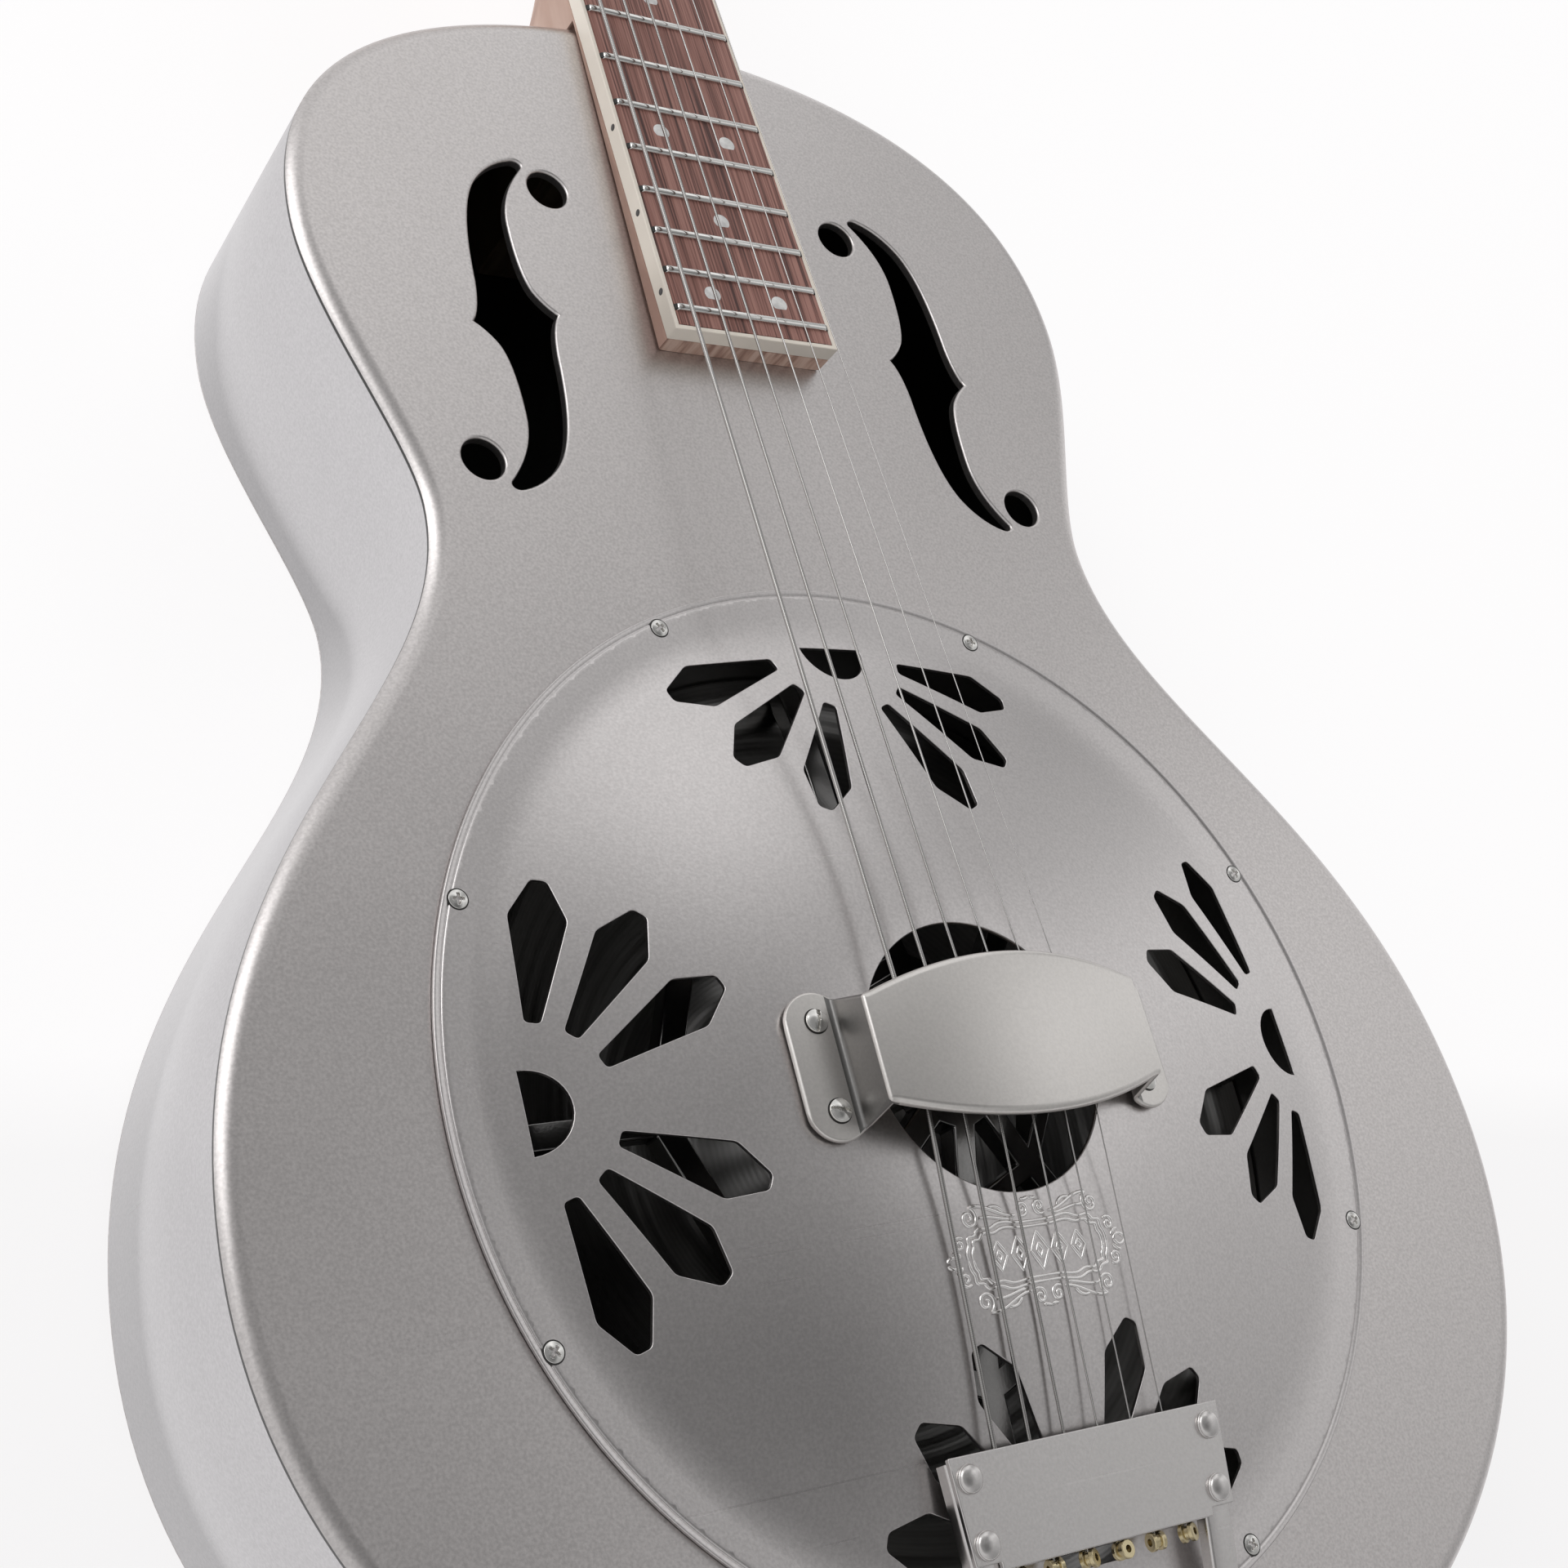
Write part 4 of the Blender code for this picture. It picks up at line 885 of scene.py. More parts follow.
def make_palm_rest():
    half = palm_line()
    path = half + [(-x, z) for x, z in reversed(half[:-1])]
    rings = []
    for i, (x, z) in enumerate(path):
        along = (Vector(path[min(i + 1, len(path) - 1)]) - Vector(path[max(i - 1, 0)])).normalized()
        up = Vector((along.y, -along.x))
        roll = smooth_step(FOOT_X - 6.0, PALM_SPAN - 1.0, abs(x))
        end = min(1.0, 0.35 + (FOOT_X + FOOT_R - abs(x)) / 0.7)
        section = rolled_section(palm_width(abs(x), z), PALM_SHEET, 0.62 + 1.1 * roll, 0.9 * roll)
        section += [(-across, rise) for across, rise in reversed(section)]
        rings.append([(x + up.x * rise * end, across, z + up.y * rise * end) for across, rise in section])
    arch = piece("palm_rest_arch", loft(rings), "palm_nickel", ["palm_rest"], sharp=42.0)
    # The risers' outer faces take the darker nickel: painted shade
    riser_shade_faces = []
    for polygon in arch.data.polygons:
        x, _, z = polygon.center / MM
        if x * polygon.normal.x > 0.0 and abs(abs(x) - PALM_SPAN) < 2.4 and z < PALM_CORNER_Z - 0.9:
            riser_shade_faces.append(polygon)
    add_look(arch, "painted_shade_riser", riser_shade_faces)
    tilt = math.atan2(foot_height(FOOT_X + 1.0) - foot_height(FOOT_X - 1.0), 2.0)
    seat = foot_height(FOOT_X) + PALM_SHEET + 0.05
    for name, x, y, turn in (("bass_tail", -FOOT_X, -10.6, 2.9), ("bass_neck", -FOOT_X, 10.6, 1.25),
                             ("treble_tail", FOOT_X, -10.6, 0.7), ("treble_neck", FOOT_X, 10.6, 2.2)):
        matrix = Matrix.Translation((x, y, seat)) @ Matrix.Rotation(-tilt if x > 0.0 else tilt, 4, "Y")
        piece("palm_rest_screw_" + name,
              placed(screw_head(2.75, 0.75, 0.75, [(turn, 0.38, 4.0)], 0.95, 5.0), matrix),
              "polished", ["palm_screw_" + name])
        # A black ring round each head: painted shadow in the gap
        gap = placed(painted_shadow_ring((0.0, 0.0), 2.6, 3.05, 0.0), matrix @ Matrix.Translation((0.0, 0.0, -0.02)))
        piece("palm_rest_screw_gap_shadow_" + name, gap, "black")


# ---------------------------------------------------------------- tailpiece

TAIL_FRONT_Y = -87.8
TAIL_LIP_Y = -112.4
TAIL_FRONT_Z = COVER_RIM_TOP + 13.0
TAIL_SHEET = 1.4
TAIL_SLOPE = 0.11
TAIL_BEND_Y = TAIL_Y + 1.0
TAIL_EDGE_Z = BODY_DEPTH + 1.9
RAIL_WIDTH = 8.0
SADDLE_Z = COVER_RIM_TOP + 21.7
SADDLE_SPREAD = 50.6
NUT_SPREAD = 35.0
STRING_RADII = (0.60, 0.47, 0.37, 0.27, 0.20, 0.15)
BALL_TILTS = (25.0, 8.0, 62.0, 84.0, 6.0, 64.0)


def tail_width(y):
    return 40.4 + 0.08 * (y - TAIL_FRONT_Y)


def tail_height(y):
    return TAIL_FRONT_Z + TAIL_SLOPE * (y - TAIL_FRONT_Y)


def string_x(number, spread):
    """Where a string crosses, counted from the bass side, for a spread between the outer strings."""
    return spread * (number / 5.0 - 0.5)


def frame_height(y):
    """Top face of the tailpiece's rails: under the cross plate, then down to the tail's edge."""
    front = tail_height(TAIL_LIP_Y) - TAIL_SHEET - 0.1
    if y > TAIL_LIP_Y:
        return tail_height(y) - TAIL_SHEET - 0.1
    return front + (TAIL_EDGE_Z - front) * (y - TAIL_LIP_Y) / (TAIL_BEND_Y - TAIL_LIP_Y)


def make_cross_plate():
    front = tail_width(TAIL_FRONT_Y)
    notch = TAIL_LIP_Y + 1.8
    rear = tail_width(notch)
    step = 31.5
    half = [(front, TAIL_FRONT_Y), (rear, notch), (step, notch), (step, TAIL_LIP_Y)]
    outline = densify(fillet([(-x, y) for x, y in half] + half[::-1], 0.45), 3.0)
    sheet("tail_cross_plate", "fitting_nickel", [(outline, cut_edge(0.3, TAIL_SHEET))], TAIL_SHEET,
          lambda points: tail_height(points[:, 1]), stands_for=["tailpiece_cross_plate"])
    tabs = []
    z = tail_height(TAIL_LIP_Y)
    section = [(TAIL_LIP_Y + 1.6, z - 0.4), (TAIL_LIP_Y + 0.5, z - 0.35), (TAIL_LIP_Y + 0.1, z - 0.9),
               (TAIL_LIP_Y - 0.1, z - 6.0), (TAIL_LIP_Y + 1.1, z - 6.0), (TAIL_LIP_Y + 1.3, z - 1.4)]
    for number in range(5):
        low = string_x(number, SADDLE_SPREAD) + 1.1
        high = string_x(number + 1, SADDLE_SPREAD) - 1.1
        tabs.append(loft([[(x, y, level) for y, level in section] for x in (low, high)]))
    piece("tail_string_lip", merge(tabs), "fitting_nickel")
    for hand, side in (("bass", -1.0), ("treble", 1.0)):
        for end, y in (("front", -92.8), ("rear", -106.7)):
            place = (side * (tail_width(y) - 4.2), y, tail_height(y))
            matrix = Matrix.Translation(place) @ Matrix.Rotation(math.atan(TAIL_SLOPE), 4, "X")
            name = "rivet_%s_%s" % (hand, end)
            piece("tail_" + name, placed(domed_rivet(), matrix), "fitting_nickel", ["tailpiece_" + name])


def rail(side):
    """One rail: a channel with folded walls, running down to the tail."""
    rings = []
    radius = 0.9
    arc = [pi / 2.0 * k / 4 for k in range(5)]
    for y in (TAIL_FRONT_Y - 1.0, TAIL_LIP_Y + 3.0, TAIL_LIP_Y - 3.0, -122.0, -132.0, -143.0, -154.0,
              TAIL_BEND_Y):
        outer = tail_width(y)
        inner = outer - RAIL_WIDTH
        z = frame_height(y)
        foot = z - min(3.4, z - BODY_DEPTH - 0.5)
        face = [(outer, foot)]
        face += [(outer - radius + radius * cos(a), z - radius + radius * sin(a)) for a in arc]
        face += [(inner + radius - radius * sin(a), z - radius + radius * cos(a)) for a in arc]
        back = [(inner, foot), (inner + SHEET, foot), (inner + SHEET, z - SHEET), (outer - SHEET, z - SHEET),
                (outer - SHEET, foot)]
        rings.append([(side * x, y, level) for x, level in face + back])
    return loft(rings)


def make_tail_frame():
    strap = []
    for y in (-154.0, -161.0, TAIL_BEND_Y):
        half = tail_width(y) - 1.0
        z = frame_height(y) - 0.02
        strap.append([(-half, y, z), (half, y, z), (half, y, z - SHEET), (-half, y, z - SHEET)])
    # The tab's outside as (y, z, angle turned, how much narrower): over the edge, then down the tail
    turn_y, turn_z, radius = TAIL_BEND_Y + 0.2, TAIL_EDGE_Z - 3.0, 3.0
    path = [(TAIL_BEND_Y + 2.0, TAIL_EDGE_Z + 0.25, 0.25, 0.0)]
    path += [(turn_y - radius * sin(a), turn_z + radius * cos(a), a, 0.0)
             for a in (pi / 2.0 * k / 6 for k in range(7))]
    path += [(turn_y - radius, z, pi / 2.0, inset)
             for z, inset in ((60.0, 0.0), (28.0, 0.0), (25.5, 1.0), (23.5, 3.4), (22.2, 7.5))]
    tab = []
    for y, z, a, inset in path:
        half = 20.0 - inset
        down, back = SHEET * cos(a), SHEET * sin(a)
        tab.append([(-half, y, z), (half, y, z), (half, y + back, z - down), (-half, y + back, z - down)])
    shapes = [rail(-1.0), rail(1.0), loft(strap), loft(tab)]
    piece("tail_frame", merge(shapes), "fitting_nickel", ["tailpiece_frame"])
    button = [(3.0, 0.4), (3.0, 2.1), (5.6, 2.1), (6.2, 2.3), (6.6, 2.9), (6.5, 3.5), (5.6, 4.2), (4.4, 4.9),
              (3.8, 6.0), (3.6, 7.6), (3.7, 9.2), (4.4, 10.8), (5.6, 11.9), (6.5, 12.7), (6.9, 13.6),
              (6.8, 14.6), (6.2, 15.4), (5.0, 15.9), (2.2, 16.0), (2.0, 15.6), (0.1, 15.5)]
    out = Matrix.Translation((0.0, TAIL_Y, BODY_DEPTH / 2.0)) @ Matrix.Rotation(pi / 2.0, 4, "X")
    piece("strap_pin", placed(turned(button, 64), out), "polished", ["strap_button"])


# ---------------------------------------------------------------- neck

SCALE = 635.0
NUT_Y = SCALE + 2.5
NUT_LENGTH = 5.2
BOARD_END_Y = 207.4
BOARD_THICKNESS = 5.2
# The board's face over the coverplate's rim: carried on to y = 0, and at its end
BOARD_OVER_RIM = 16.7
BOARD_END_OVER_RIM = 8.9
BINDING = 1.4
HEAD_ANGLE = math.radians(15.0)
HEAD_THICKNESS = 14.5
STRING_OVER_NUT = 2.2


def board_top(y):
    """The fingerboard's face, which falls towards the nut."""
    start = COVER_RIM_TOP + BOARD_OVER_RIM
    return start + (COVER_RIM_TOP + BOARD_END_OVER_RIM - start) / BOARD_END_Y * y


def board_half_width(y):
    return (43.0 + 7.5 * (y - NUT_Y) / (TOP_Y - NUT_Y)) / 2.0


def fret_y(number):
    return SCALE * 2.0 ** (-number / 12.0) + 2.5


def string_height(y):
    """A string's middle line between the saddle at y = 0 and the nut."""
    nut = board_top(NUT_Y) + STRING_OVER_NUT
    return SADDLE_Z + (nut - SADDLE_Z) * y / NUT_Y


def board_outline(inset, end):
    """The tapered board from its end to the nut."""
    corners = [(board_half_width(y) - inset, y) for y in (end, NUT_Y)]
    return corners + [(-x, y) for x, y in reversed(corners)]


def board_height(points):
    return board_top(points[:, 1])


def make_fingerboard():
    inner = densify(board_outline(BINDING + 0.08, BOARD_END_Y + BINDING + 0.08), 30.0)
    sheet("rosewood_board", "rosewood", [(inner, cut_edge(0.08, BOARD_THICKNESS, 2))], BOARD_THICKNESS,
          board_height, stands_for=["fingerboard"])
    outer = board_outline(0.0, BOARD_END_Y)
    hollow = board_outline(BINDING, BOARD_END_Y + BINDING)
    strip = [hollow[2], outer[2], outer[3], outer[0], outer[1], hollow[1], hollow[0], hollow[3]]
    sheet("board_binding", "cream", [(densify(strip, 30.0), cut_edge(0.3, BOARD_THICKNESS))], BOARD_THICKNESS,
          board_height, stands_for=["fingerboard_binding"])
    make_frets()
    dots = []
    marks = []
    side_dot = turned([(1.0, -0.5), (1.0, 0.02), (0.9, 0.06), (0.05, 0.07)], 24)
    for number in (3, 5, 7, 9, 12, 15, 17, 19):
        y = (fret_y(number) + fret_y(number - 1)) / 2.0
        z = board_top(y)
        for x in (-11.0, 11.0) if number in (15, 19) else (0.0,):
            dot = [(2.55, z - 1.0), (2.55, z + 0.01), (2.42, z + 0.06), (0.1, z + 0.07)]
            dots.append(turned(dot, 40, (x, y)))
        marks.append(placed(side_dot, Matrix.Translation((-board_half_width(y), y, z - 2.0))
                            @ Matrix.Rotation(-pi / 2.0, 4, "Y")))
    piece("pearl_dots", merge(dots), "pearl")
    piece("side_dots", merge(marks), "black")


def make_frets():
    """The frets, with black pieces at the ends of their slots in the binding's edge: painted shade in the slots."""
    half_crown = [(-1.05, -0.3), (-1.05, 0.25), (-0.98, 0.62), (-0.78, 0.92), (-0.45, 1.06)]
    crown = half_crown + [(0.0, 1.1)] + [(-a, b) for a, b in reversed(half_crown)]
    slot_shadows = []
    for number in range(1, 20):
        y = fret_y(number)
        top = board_top(y)
        half = board_half_width(y) - BINDING
        rings = [[(x, y + a, top + (b if b < 0.0 else b * lift)) for a, b in crown] for x, lift in (
            (-half + 0.45, 0.05), (-half + 0.8, 0.75), (-half + 1.2, 1.0), (half - 1.2, 1.0), (half - 0.8, 0.75),
            (half - 0.45, 0.05))]
        piece("fret_%d" % number, loft(rings), "polished", sharp=50.0)
        for side in (-1.0, 1.0):
            x = side * (half - 0.02)
            back = x - side * 0.75
            slot_shadows.append(loft([[(x, y + a, top + b), (back, y + a, top + 2.2 * b), (back, y + a, top - 0.3),
                                (x, y + a, top - 0.3)]
                               for a, b in ((-0.95, 0.05), (-0.8, 0.3), (0.8, 0.3), (0.95, 0.05))]))
    piece("fret_slot_ends", merge(slot_shadows), "black")


def neck_ring(y, top, depth, square, count=36):
    """Half an oval under the fingerboard; the smaller square is, the squarer the oval."""
    ring = []
    half = board_half_width(y)
    for i in range(count + 1):
        angle = pi * i / count
        cosine = cos(angle)
        x = half * math.copysign(abs(cosine) ** square, cosine)
        ring.append((x, y, top - depth * sin(angle) ** square if 0 < i < count else top))
    return ring


def make_neck():
    wedge_foot = BODY_DEPTH + 0.1
    rings = []
    for y in (BOARD_END_Y, BOARD_END_Y + 0.4, TOP_Y - 0.2, TOP_Y + 0.25):
        top = board_top(y) - BOARD_THICKNESS
        rings.append(neck_ring(y, top, top - wedge_foot, 0.1))
    heel = TOP_Y + 0.45
    end = NUT_Y + NUT_LENGTH
    # (place along the neck, depth, squareness)
    knots = np.array([(heel, 69.0, 0.45), (328.0, 62.0, 0.5), (336.0, 44.0, 0.6), (346.0, 28.0, 0.75),
                      (362.0, 19.0, 0.85), (420.0, 17.5, 0.9), (540.0, 16.2, 0.9), (end, 15.2, 0.9)])
    places = np.concatenate((np.linspace(heel, 372.0, 44), np.linspace(378.0, end, 30)))
    depths = np.interp(places, knots[:, 0], knots[:, 1])
    squares = np.interp(places, knots[:, 0], knots[:, 2])
    for _ in range(6):
        for row in (depths, squares):
            row[1:-1] = (row[:-2] + 2.0 * row[1:-1] + row[2:]) / 4.0
    for y, depth, square in zip(places, depths, squares):
        rings.append(neck_ring(y, board_top(y) - BOARD_THICKNESS, depth, square))
    low = board_top(NUT_Y) - BOARD_THICKNESS
    rings[-1] = [(x, y - (low - z) * math.tan(HEAD_ANGLE), z) for x, y, z in rings[-1]]
    piece("carved_neck", loft(rings), "mahogany", ["neck"], sharp=40.0)
    high = board_top(NUT_Y) + STRING_OVER_NUT + 0.1
    near = NUT_Y + 0.05
    section = [(near, low), (end, low), (end, high - 1.9), (end - 0.3, high - 1.3), (end - 1.2, high - 0.6),
               (near + 2.2, high - 0.1), (near + 1.2, high), (near + 0.25, high), (near, high - 0.25)]
    rings = [[(x, y, min(z, high - shrink)) for y, z in section]
             for x, shrink in ((-21.5, 0.35), (-21.2, 0.0), (21.2, 0.0), (21.5, 0.35))]
    piece("bone_nut", loft(rings), "bone", ["nut"])


# ---------------------------------------------------------------- headstock and tuners

GEAR_TEETH = 14
WORM_PITCH = 2.0
GEAR_R = GEAR_TEETH * WORM_PITCH / (2.0 * pi)
WORM_R = 2.2
GEAR_HEIGHT = 3.4
GEAR_W = -HEAD_THICKNESS - 4.4
BUTTON_REACH = 44.0
POST_R = 3.1
SHAFT_R = 1.5
POST_WAIST_R = 2.2
POST_WAIST_Z = 7.2


# Headstock frame: X across, Y towards the tip, Z out of the front face
HEAD_FRAME = (Matrix.Translation((0.0, NUT_Y + NUT_LENGTH + 1.5, board_top(NUT_Y) - 1.6))
              @ Matrix.Rotation(-HEAD_ANGLE, 4, "X"))
# Posts: the bass side from the nut outwards, then the treble side from the tip back to the nut
POSTS = ((-20.0, 36.0), (-22.0, 74.0), (-24.0, 112.0), (24.0, 112.0), (22.0, 74.0), (20.0, 36.0))


def make_headstock():
    half = [(21.5, 0.0)] + bezier(((21.5, 0.0), (22.0, 12.0), (31.0, 14.0), (32.5, 30.0)), 12)[1:]
    half += [(32.5, 30.0), (33.5, 70.0), (36.0, 128.0), (37.3, 147.0)]
    half += bezier(((37.5, 152.5), (26.0, 156.5), (14.0, 161.5), (9.0, 167.6)), 12) + [(9.0, 167.6)]
    outline = half + [(-x, y) for x, y in reversed(half)]
    edges = [(densify(outline, 8.0), cut_edge(0.9, HEAD_THICKNESS))]
    edges += [(ring_points(POST_R + 0.5, 40, place), cut_edge(0.15, HEAD_THICKNESS, 2)) for place in POSTS]
    sheet("carved_headstock", "mahogany", edges, HEAD_THICKNESS, matrix=HEAD_FRAME, stands_for=["headstock"])
    bush = turned_ring([(POST_R + 0.1, -0.4), (5.2, -0.4), (5.2, 0.35), (5.0, 0.6), (4.2, 0.9),
                        (POST_R + 0.1, 0.9)], 48)
    bushings = [placed(bush, Matrix.Translation((*place, 0.0))) for place in POSTS]
    piece("post_bushings", placed(merge(bushings), HEAD_FRAME), "polished")
    cover = fillet([(-6.0, 4.0), (6.0, 4.0), (9.0, 12.0), (5.0, 34.0), (0.0, 42.0), (-5.0, 34.0), (-9.0, 12.0)],
                   3.0, 6)
    sheet("truss_cover", "black", [(cover, cut_edge(0.35, 1.6))], 1.6,
          matrix=HEAD_FRAME @ Matrix.Translation((0.0, 0.0, 1.7)), stands_for=["truss_rod_cover"])
    screws = [placed(screw_head(1.5, 0.15, 0.35, [(0.5 + x, 0.22, 0.9), (2.07 + x, 0.22, 0.9)], 0.5, 4.0),
                     Matrix.Translation((x, y, 1.7))) for x, y in ((0.0, 37.0), (-5.2, 9.0), (5.2, 9.0))]
    piece("truss_cover_screws", placed(merge(screws), HEAD_FRAME), "polished")


def tooth_radius(pitch_radius, phase):
    """Radius of a gear's or worm's flank, from root to tip once per phase."""
    level = max(-1.0, min(1.0, 1.35 * cos(2.0 * pi * phase)))
    return pitch_radius + (0.5 if level > 0.0 else 0.65) * level - 0.14


def gear_shape(place, side):
    """The worm wheel, about its post's axis, in the headstock's frame."""
    lean = math.atan(WORM_PITCH / (2.0 * pi * WORM_R)) * side
    rings = []
    for share, inset in ((-0.5, 0.5), (-0.44, 0.12), (-0.38, 0.0), (0.38, 0.0), (0.44, 0.12), (0.5, 0.5)):
        z = GEAR_W + share * GEAR_HEIGHT
        slide = share * GEAR_HEIGHT * math.tan(lean) / GEAR_R
        ring = []
        for angle in around(12 * GEAR_TEETH):
            radius = tooth_radius(GEAR_R, GEAR_TEETH * angle / (2.0 * pi) + 0.5) - inset
            turn = angle + slide + pi / 2.0
            ring.append((place[0] + radius * cos(turn), place[1] + radius * sin(turn), z))
        rings.append(ring)
    return loft(rings)


def across_ring(x, y, radius, flat=1.0):
    return [(x, y - radius * cos(a), GEAR_W + radius * flat * sin(a)) for a in around(36)]


def worm_shape(place, side):
    """The threaded worm on its shaft, with an oval button outside the headstock."""
    y = place[1] + GEAR_R + WORM_R
    length = 3.0 * WORM_PITCH
    thread = []
    for share in (row / 60 for row in range(61)):
        x = -length / 2.0 + length * share
        fade = min(1.0, 4.0 * share, 4.0 * (1.0 - share))
        ring = []
        for angle in around(36):
            radius = tooth_radius(WORM_R, x / WORM_PITCH + side * angle / (2.0 * pi))
            radius = SHAFT_R + (radius - SHAFT_R) * (0.4 + 0.6 * fade)
            ring.append((place[0] + x, y - radius * cos(angle), GEAR_W + radius * sin(angle)))
        thread.append(ring)
    reach = side * BUTTON_REACH
    tail = place[0] - side * length / 2.0
    shaft = [across_ring(x, y, radius) for x, radius in (
        (tail - side * 3.2, SHAFT_R - 0.3), (tail - side * 2.9, SHAFT_R), (reach - side * 2.0, SHAFT_R),
        (reach - side * 1.6, 2.6), (reach - side * 0.4, 2.9), (reach, 2.6))]
    button = [across_ring(reach + side * x, y, radius, flat) for x, radius, flat in (
        (-0.5, 2.4, 1.0), (0.6, 3.2, 0.95), (1.8, 4.2, 0.80), (3.2, 6.0, 0.62), (4.8, 7.4, 0.50),
        (6.6, 8.2, 0.45), (8.8, 8.5, 0.43), (11.0, 8.45, 0.42), (13.0, 7.9, 0.42), (14.6, 6.8, 0.42),
        (15.5, 5.6, 0.38), (16.0, 3.6, 0.30), (16.0, 0.3, 0.30))]
    return merge([loft(thread), loft(shaft), loft(button)])


def make_tuners():
    post = [(POST_R - 0.3, GEAR_W - 2.6), (POST_R, GEAR_W - 2.3), (POST_R, 3.8), (3.0, 4.2), (2.35, 5.8),
            (POST_WAIST_R, 6.2), (POST_WAIST_R, 8.4), (2.3, 8.8), (2.75, 9.4), (2.9, 9.8), (2.8, 10.2),
            (2.4, 10.4), (0.1, 10.4)]
    for number, place in enumerate(POSTS):
        side = math.copysign(1.0, place[0])
        shapes = {"post": merge([turned(post, 48, place), gear_shape(place, side)]),
                  "worm": worm_shape(place, side)}
        for kind, shape in shapes.items():
            body = "%s_%d" % (kind, 6 - number)
            piece("tuner_" + body, placed(shape, HEAD_FRAME), "polished", [body], body)
    make_machine_plate("bass", -1.0)
    make_machine_plate("treble", 1.0)


def make_machine_plate(name, side):
    """A strip under three gears, with an ear at each end of every worm and a screw between machines."""
    high = -HEAD_THICKNESS - 0.1
    low = high - SHEET
    corners = ((14.0, 24.0), (31.0, 24.0), (31.0, 126.0), (14.0, 126.0))
    outline = fillet([(side * x, y) for x, y in corners], 4.0, 6)
    places = [(x, y) for x, y in POSTS if x * side > 0.0]
    edges = [(densify(outline, 6.0), cut_edge(0.3, SHEET))]
    edges += [(ring_points(POST_R + 0.5, 32, place), cut_edge(0.15, SHEET, 2)) for place in places]
    sheet("tuner_plate_" + name, "polished", edges, SHEET,
          matrix=HEAD_FRAME @ Matrix.Translation((0.0, 0.0, high)), stands_for=["machine_plate_" + name])
    ears = []
    for x, y in places:
        centre = y + GEAR_R + WORM_R
        arc = [(centre + 2.6 * cos(a), GEAR_W - 2.6 * sin(a)) for a in np.linspace(0.0, pi, 17)]
        section = [(centre + 2.9, low + 0.2)] + arc + [(centre - 2.9, low + 0.2)]
        for offset in (-4.7, 4.7):
            ears.append(loft([[(x + offset + t, a, b) for a, b in section] for t in (-0.6, 0.6)]))
    for y in (28.5, 59.0, 97.0, 121.5):
        down = Matrix.Translation((side * 27.0, y, low)) @ Matrix.Rotation(pi, 4, "X")
        ears.append(placed(screw_head(1.9, 0.3, 0.4, [(y, 0.26, 1.1), (y + 1.57, 0.26, 1.1)], 0.55, 4.0), down))
    piece("tuner_ears_" + name, placed(merge(ears), HEAD_FRAME), "polished")


# ---------------------------------------------------------------- strings

def sweep(points, radii, count=12):
    """A round bar along points, square to its run."""
    rings = []
    side = Vector((1.0, 0.0, 0.0))
    for i, point in enumerate(points):
        ahead = Vector(points[min(i + 1, len(points) - 1)])
        along = (ahead - Vector(points[max(i - 1, 0)])).normalized()
        side = (side - along * side.dot(along)).normalized()
        up = along.cross(side)
        rings.append([tuple(Vector(point) + radii[i] * (cos(a) * side + sin(a) * up))
                      for a in around(count)])
    return loft(rings)


def ball_end(centre, tilt):
    """A string's ball: a brass spool with a hole through it, seen more or less from its end."""
    profile = [(0.85, -1.75), (1.9, -1.75), (2.1, -1.6), (2.1, -0.75), (1.95, -0.6), (1.5, -0.45), (1.5, 0.45),
               (1.95, 0.6), (2.1, 0.75), (2.1, 1.6), (1.9, 1.75), (0.85, 1.75)]
    matrix = Matrix.Translation(centre) @ Matrix.Rotation(math.radians(90.0 - tilt), 4, "Y")
    return placed(turned_ring(profile, 40), matrix)


def make_strings():
    ball_y = TAIL_LIP_Y - 2.1
    tail_slope = (SADDLE_Z - (TAIL_FRONT_Z - 2.6)) / -TAIL_FRONT_Y
    for number, (place, radius, tilt) in enumerate(zip(POSTS, STRING_RADII, BALL_TILTS)):
        start = string_x(number, SADDLE_SPREAD)
        end = string_x(number, NUT_SPREAD)
        side = math.copysign(1.0, place[0])
        reach = POST_WAIST_R + radius
        over_saddle = [(ball_y + 1.4, 0.0), (-1.2, 0.0), (-0.4, -0.05), (0.4, -0.05), (1.2, 0.0)]
        points = [(start, y, SADDLE_Z + drop + tail_slope * min(y, 0.0)) for y, drop in over_saddle]
        for share in (k / 12.0 for k in range(1, 13)):
            y = (NUT_Y + 0.6) * share
            points.append((start + (end - start) * share, y, string_height(y)))
        points.append((end, NUT_Y + 2.6, string_height(NUT_Y + 2.6) - 0.3))
        points.append(tuple(HEAD_FRAME @ Vector((place[0] - side * reach, place[1], POST_WAIST_Z))))
        look = "wound" if number < 3 else "steel"
        label = 6 - number
        piece("string_run_%d" % label, sweep(points, [radius] * len(points)), look, ["string_%d" % label])
        ball = ball_end((start, ball_y, SADDLE_Z + tail_slope * ball_y), tilt)
        piece("string_ball_%d" % label, ball, "brass")
        turns = []
        total = max(1.25, min(2.2 / (2.0 * radius), 4.0))
        steps = int(total * 24)
        for k in range(steps + 1):
            angle = 2.0 * pi * total * k / steps
            fall = (2.0 * radius + 0.03) * total * k / steps
            turns.append(tuple(HEAD_FRAME @ Vector((
                place[0] - side * reach * cos(angle), place[1] + reach * sin(angle),
                POST_WAIST_Z - fall + 0.3 * radius))))
        piece("string_turns_%d" % label, sweep(turns, [radius] * len(turns)), look, body="post_%d" % label)


# ---------------------------------------------------------------- inside the body

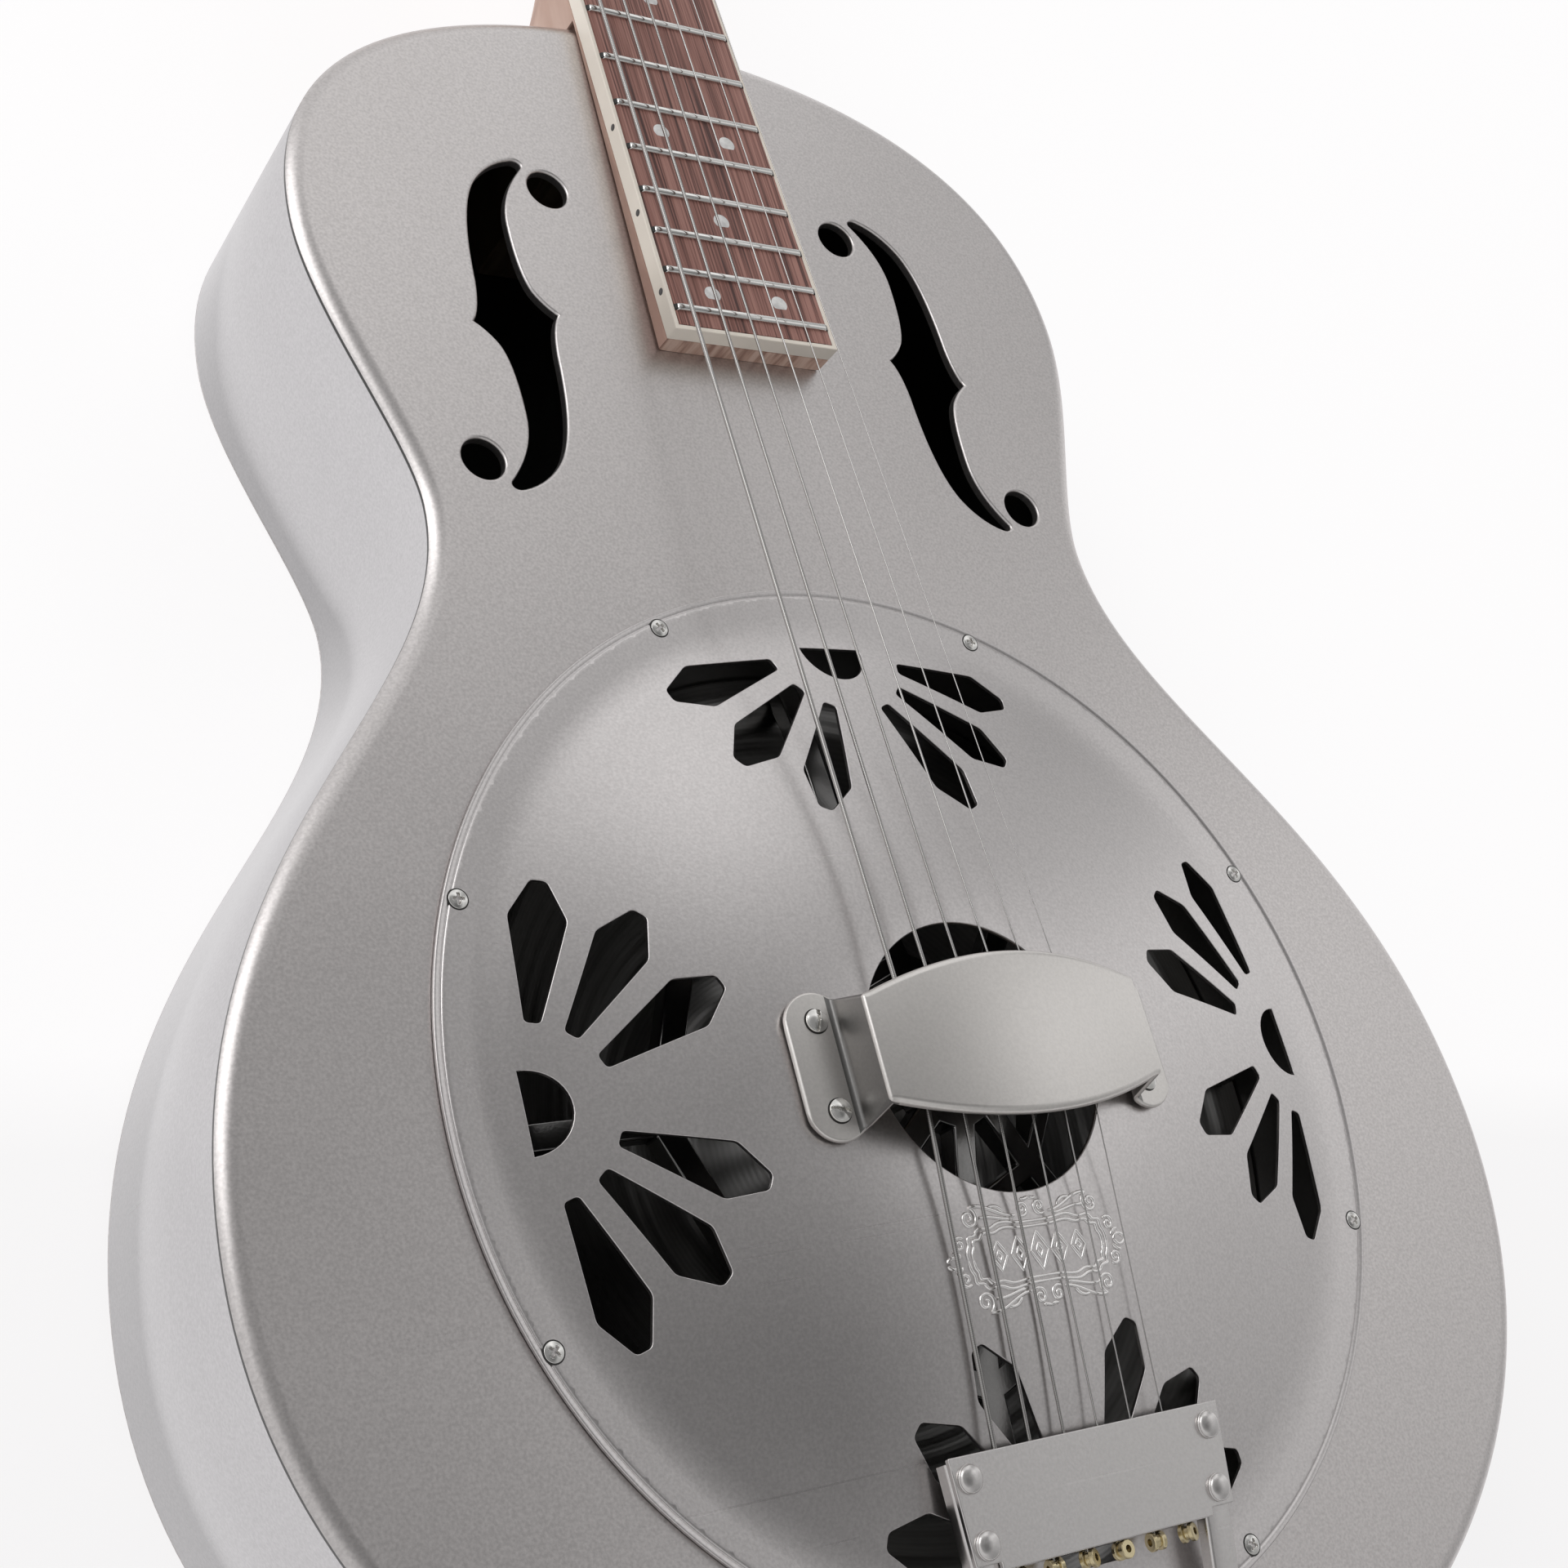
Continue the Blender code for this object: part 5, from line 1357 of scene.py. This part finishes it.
def refined(name, source, look, width):
    """A CAD piece with its edges rounded, as a mesh of its own."""
    tidy = bmesh.new()
    tidy.from_mesh(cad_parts[source].data)
    bmesh.ops.remove_doubles(tidy, verts=tidy.verts, dist=0.00001)
    bmesh.ops.dissolve_limit(tidy, angle_limit=math.radians(1.0), verts=tidy.verts, edges=tidy.edges)
    verts = [tuple(v.co / MM) for v in tidy.verts]
    faces = [tuple(v.index for v in face.verts) for face in tidy.faces]
    tidy.free()
    item = piece(name, (verts, faces), look, [source])
    bevel = item.modifiers.new("rounded_edges", "BEVEL")
    bevel.width = width * MM
    bevel.segments = 3
    bevel.limit_method = "ANGLE"
    bevel.angle_limit = math.radians(30.0)
    bevel.harden_normals = True


def make_inside():
    face = [(120.9, 49.9), (112.5, 49.9)]
    for share in (k / 48.0 for k in range(49)):
        ripple = 0.10 * cos(2.0 * pi * 12.0 * share)
        face.append((107.0 - 55.0 * share, 46.5 - 32.1 * sin(pi / 2.0 * share) ** 1.02 + ripple))
    face += [(48.0, 15.0), (44.0, 16.6), (11.0, 47.5), (2.6, 48.2)]
    back = [(r, z - 0.8) for r, z in reversed(face)]
    piece("spun_cone", turned_ring(face + back, 180), "spun", ["resonator_cone"])
    roof = BODY_DEPTH - SHEET - 0.3
    inner = CONE_OPENING_R + 0.1
    section = [(inner, roof), (inner + 7.0, roof), (inner + 7.0, roof - 1.0), (inner + 1.0, roof - 1.0),
               (inner + 1.0, 48.0), (113.6, 48.0), (113.6, 49.0), (inner, 49.0)]
    piece("well_wall", turned_ring(section, 180), "dark_nickel", ["sound_well"])
    for name, source, look, width in (
            ("cast_spider", "spider", "cast", 0.7),
            ("saddle_wood_bass", "saddle_bass", "maple", 0.4),
            ("saddle_wood_treble", "saddle_treble", "maple", 0.4),
            ("neck_block_wood", "neck_block", "maple", 0.8),
            ("tail_block_wood", "tail_block", "maple", 0.8)):
        refined(name, source, look, width)
    head = screw_head(3.7, 1.8, 0.8, [(0.3, 0.45, 4.0)], 1.0, 34.0)
    piece("cone_screw", placed(head, Matrix.Translation((0.0, 0.0, 76.8))), "polished", ["tension_screw"])


# ---------------------------------------------------------------- studio

def make_camera():
    data = bpy.data.cameras.new("camera")
    data.lens = CAMERA_LENS
    data.sensor_width = 36.0
    data.clip_start = 0.01
    data.clip_end = 50.0
    camera = bpy.data.objects.new("camera", data)
    right = CAMERA_AIM.cross(CAMERA_UP).normalized()
    up = right.cross(CAMERA_AIM).normalized()
    turn = Matrix((right, up, -CAMERA_AIM.normalized())).transposed()
    camera.matrix_world = Matrix.Translation(CAMERA_PLACE * MM) @ turn.to_4x4()
    bpy.context.scene.collection.objects.link(camera)
    bpy.context.scene.camera = camera


def make_softbox():
    """One soft light high on the bass side."""
    data = bpy.data.lights.new("wall_softbox", "AREA")
    data.shape = "RECTANGLE"
    data.size, data.size_y = 1.6, 1.4
    data.energy = 14.0
    light = bpy.data.objects.new("wall_softbox", data)
    place = Vector((-1.6, 1.5, 1.5))
    light.location = place
    light.rotation_mode = "QUATERNION"
    light.rotation_quaternion = (Vector((0.0, 0.1, 0.05)) - place).to_track_quat("-Z", "Y")
    bpy.context.scene.collection.objects.link(light)


# The floor brightens a little past a soft line: the line's X and Y parts, and its place in metres
FLOOR_LINE = (-0.0853, 0.9964, 0.0181)
FLOOR_LINE_BLUR = 0.012


def make_floor():
    """A wide pale floor that glows a little, so that it stays white under the guitar."""
    mesh = bpy.data.meshes.new("studio_floor")
    reach = 6.0
    mesh.from_pydata([(-reach, -reach, 0.0), (reach, -reach, 0.0), (reach, reach, 0.0), (-reach, reach, 0.0)],
                     [], [(0, 1, 2, 3)])
    floor = bpy.data.objects.new("studio_floor", mesh)
    floor.location.z = -0.0004
    material, tree, shader, place = start_material("floor_paper", 0.9, 0.0)
    shader.inputs["Base Color"].default_value = (0.25, 0.25, 0.25, 1.0)
    shader.inputs["Emission Color"].default_value = (1.0, 0.99, 0.993, 1.0)
    parts = node(tree, "SeparateXYZ", {"Vector": place}).outputs
    across, along, middle = FLOOR_LINE
    line = blend(tree, "SUBTRACT", blend(tree, "MULTIPLY", parts["Y"], along),
                 blend(tree, "MULTIPLY", parts["X"], across))
    glow = node(tree, "MapRange", {"Value": line, "From Min": middle - FLOOR_LINE_BLUR,
                                   "From Max": middle + FLOOR_LINE_BLUR, "To Min": 0.75, "To Max": 0.80})
    tree.links.new(glow.outputs["Result"], shader.inputs["Emission Strength"])
    mesh.materials.append(material)
    bpy.context.scene.collection.objects.link(floor)


# How bright the studio's walls are round the guitar: (direction in degrees from +X, level)
WALL_LEVELS = ((-180.0, 0.95), (-90.0, 0.80), (-50.0, 0.45), (-24.0, 0.56), (-12.0, 0.72), (3.0, 0.82),
               (11.0, 1.08), (18.0, 1.40), (26.0, 0.82), (34.0, 0.58), (41.0, 0.76), (50.0, 1.05),
               (59.0, 1.40), (70.0, 1.12), (90.0, 0.95), (180.0, 0.95))
BRIGHTEST = 1.6


def make_world():
    """Bright studio walls under a darker ceiling."""
    world = bpy.data.worlds.new("studio")
    world.use_nodes = True
    tree = world.node_tree
    back = tree.nodes["Background"]
    parts = node(tree, "SeparateXYZ", {"Vector": node(tree, "TexCoord").outputs["Generated"]}).outputs
    heights = ramp(tree, parts["Z"], [(0.0, 0.76), (0.45, 0.77), (0.62, 0.84), (0.73, 1.0), (0.79, 0.80),
                                      (0.845, 0.50), (0.89, 0.36), (0.95, 0.33), (1.0, 0.32)])
    direction = blend(tree, "ARCTAN2", parts["Y"], parts["X"])
    direction = node(tree, "MapRange", {"Value": direction, "From Min": -pi, "From Max": pi})
    stops = [((180.0 + angle) / 360.0, level / BRIGHTEST) for angle, level in WALL_LEVELS]
    walls = ramp(tree, direction.outputs["Result"], stops)
    mixed = node(tree, "Mix", {0: 1.0, 6: heights, 7: walls}, data_type="RGBA", blend_type="MULTIPLY")
    tree.links.new(mixed.outputs[2], back.inputs["Color"])
    back.inputs["Strength"].default_value = BRIGHTEST
    bpy.context.scene.world = world
    bpy.context.scene.view_settings.view_transform = "Standard"


make_camera()
make_world()
make_floor()
make_softbox()

make_body()
make_coverplate()
make_ornament()
make_cover_screws()
make_palm_rest()
make_cross_plate()
make_tail_frame()
make_fingerboard()
make_neck()
make_headstock()
make_tuners()
make_strings()
make_inside()
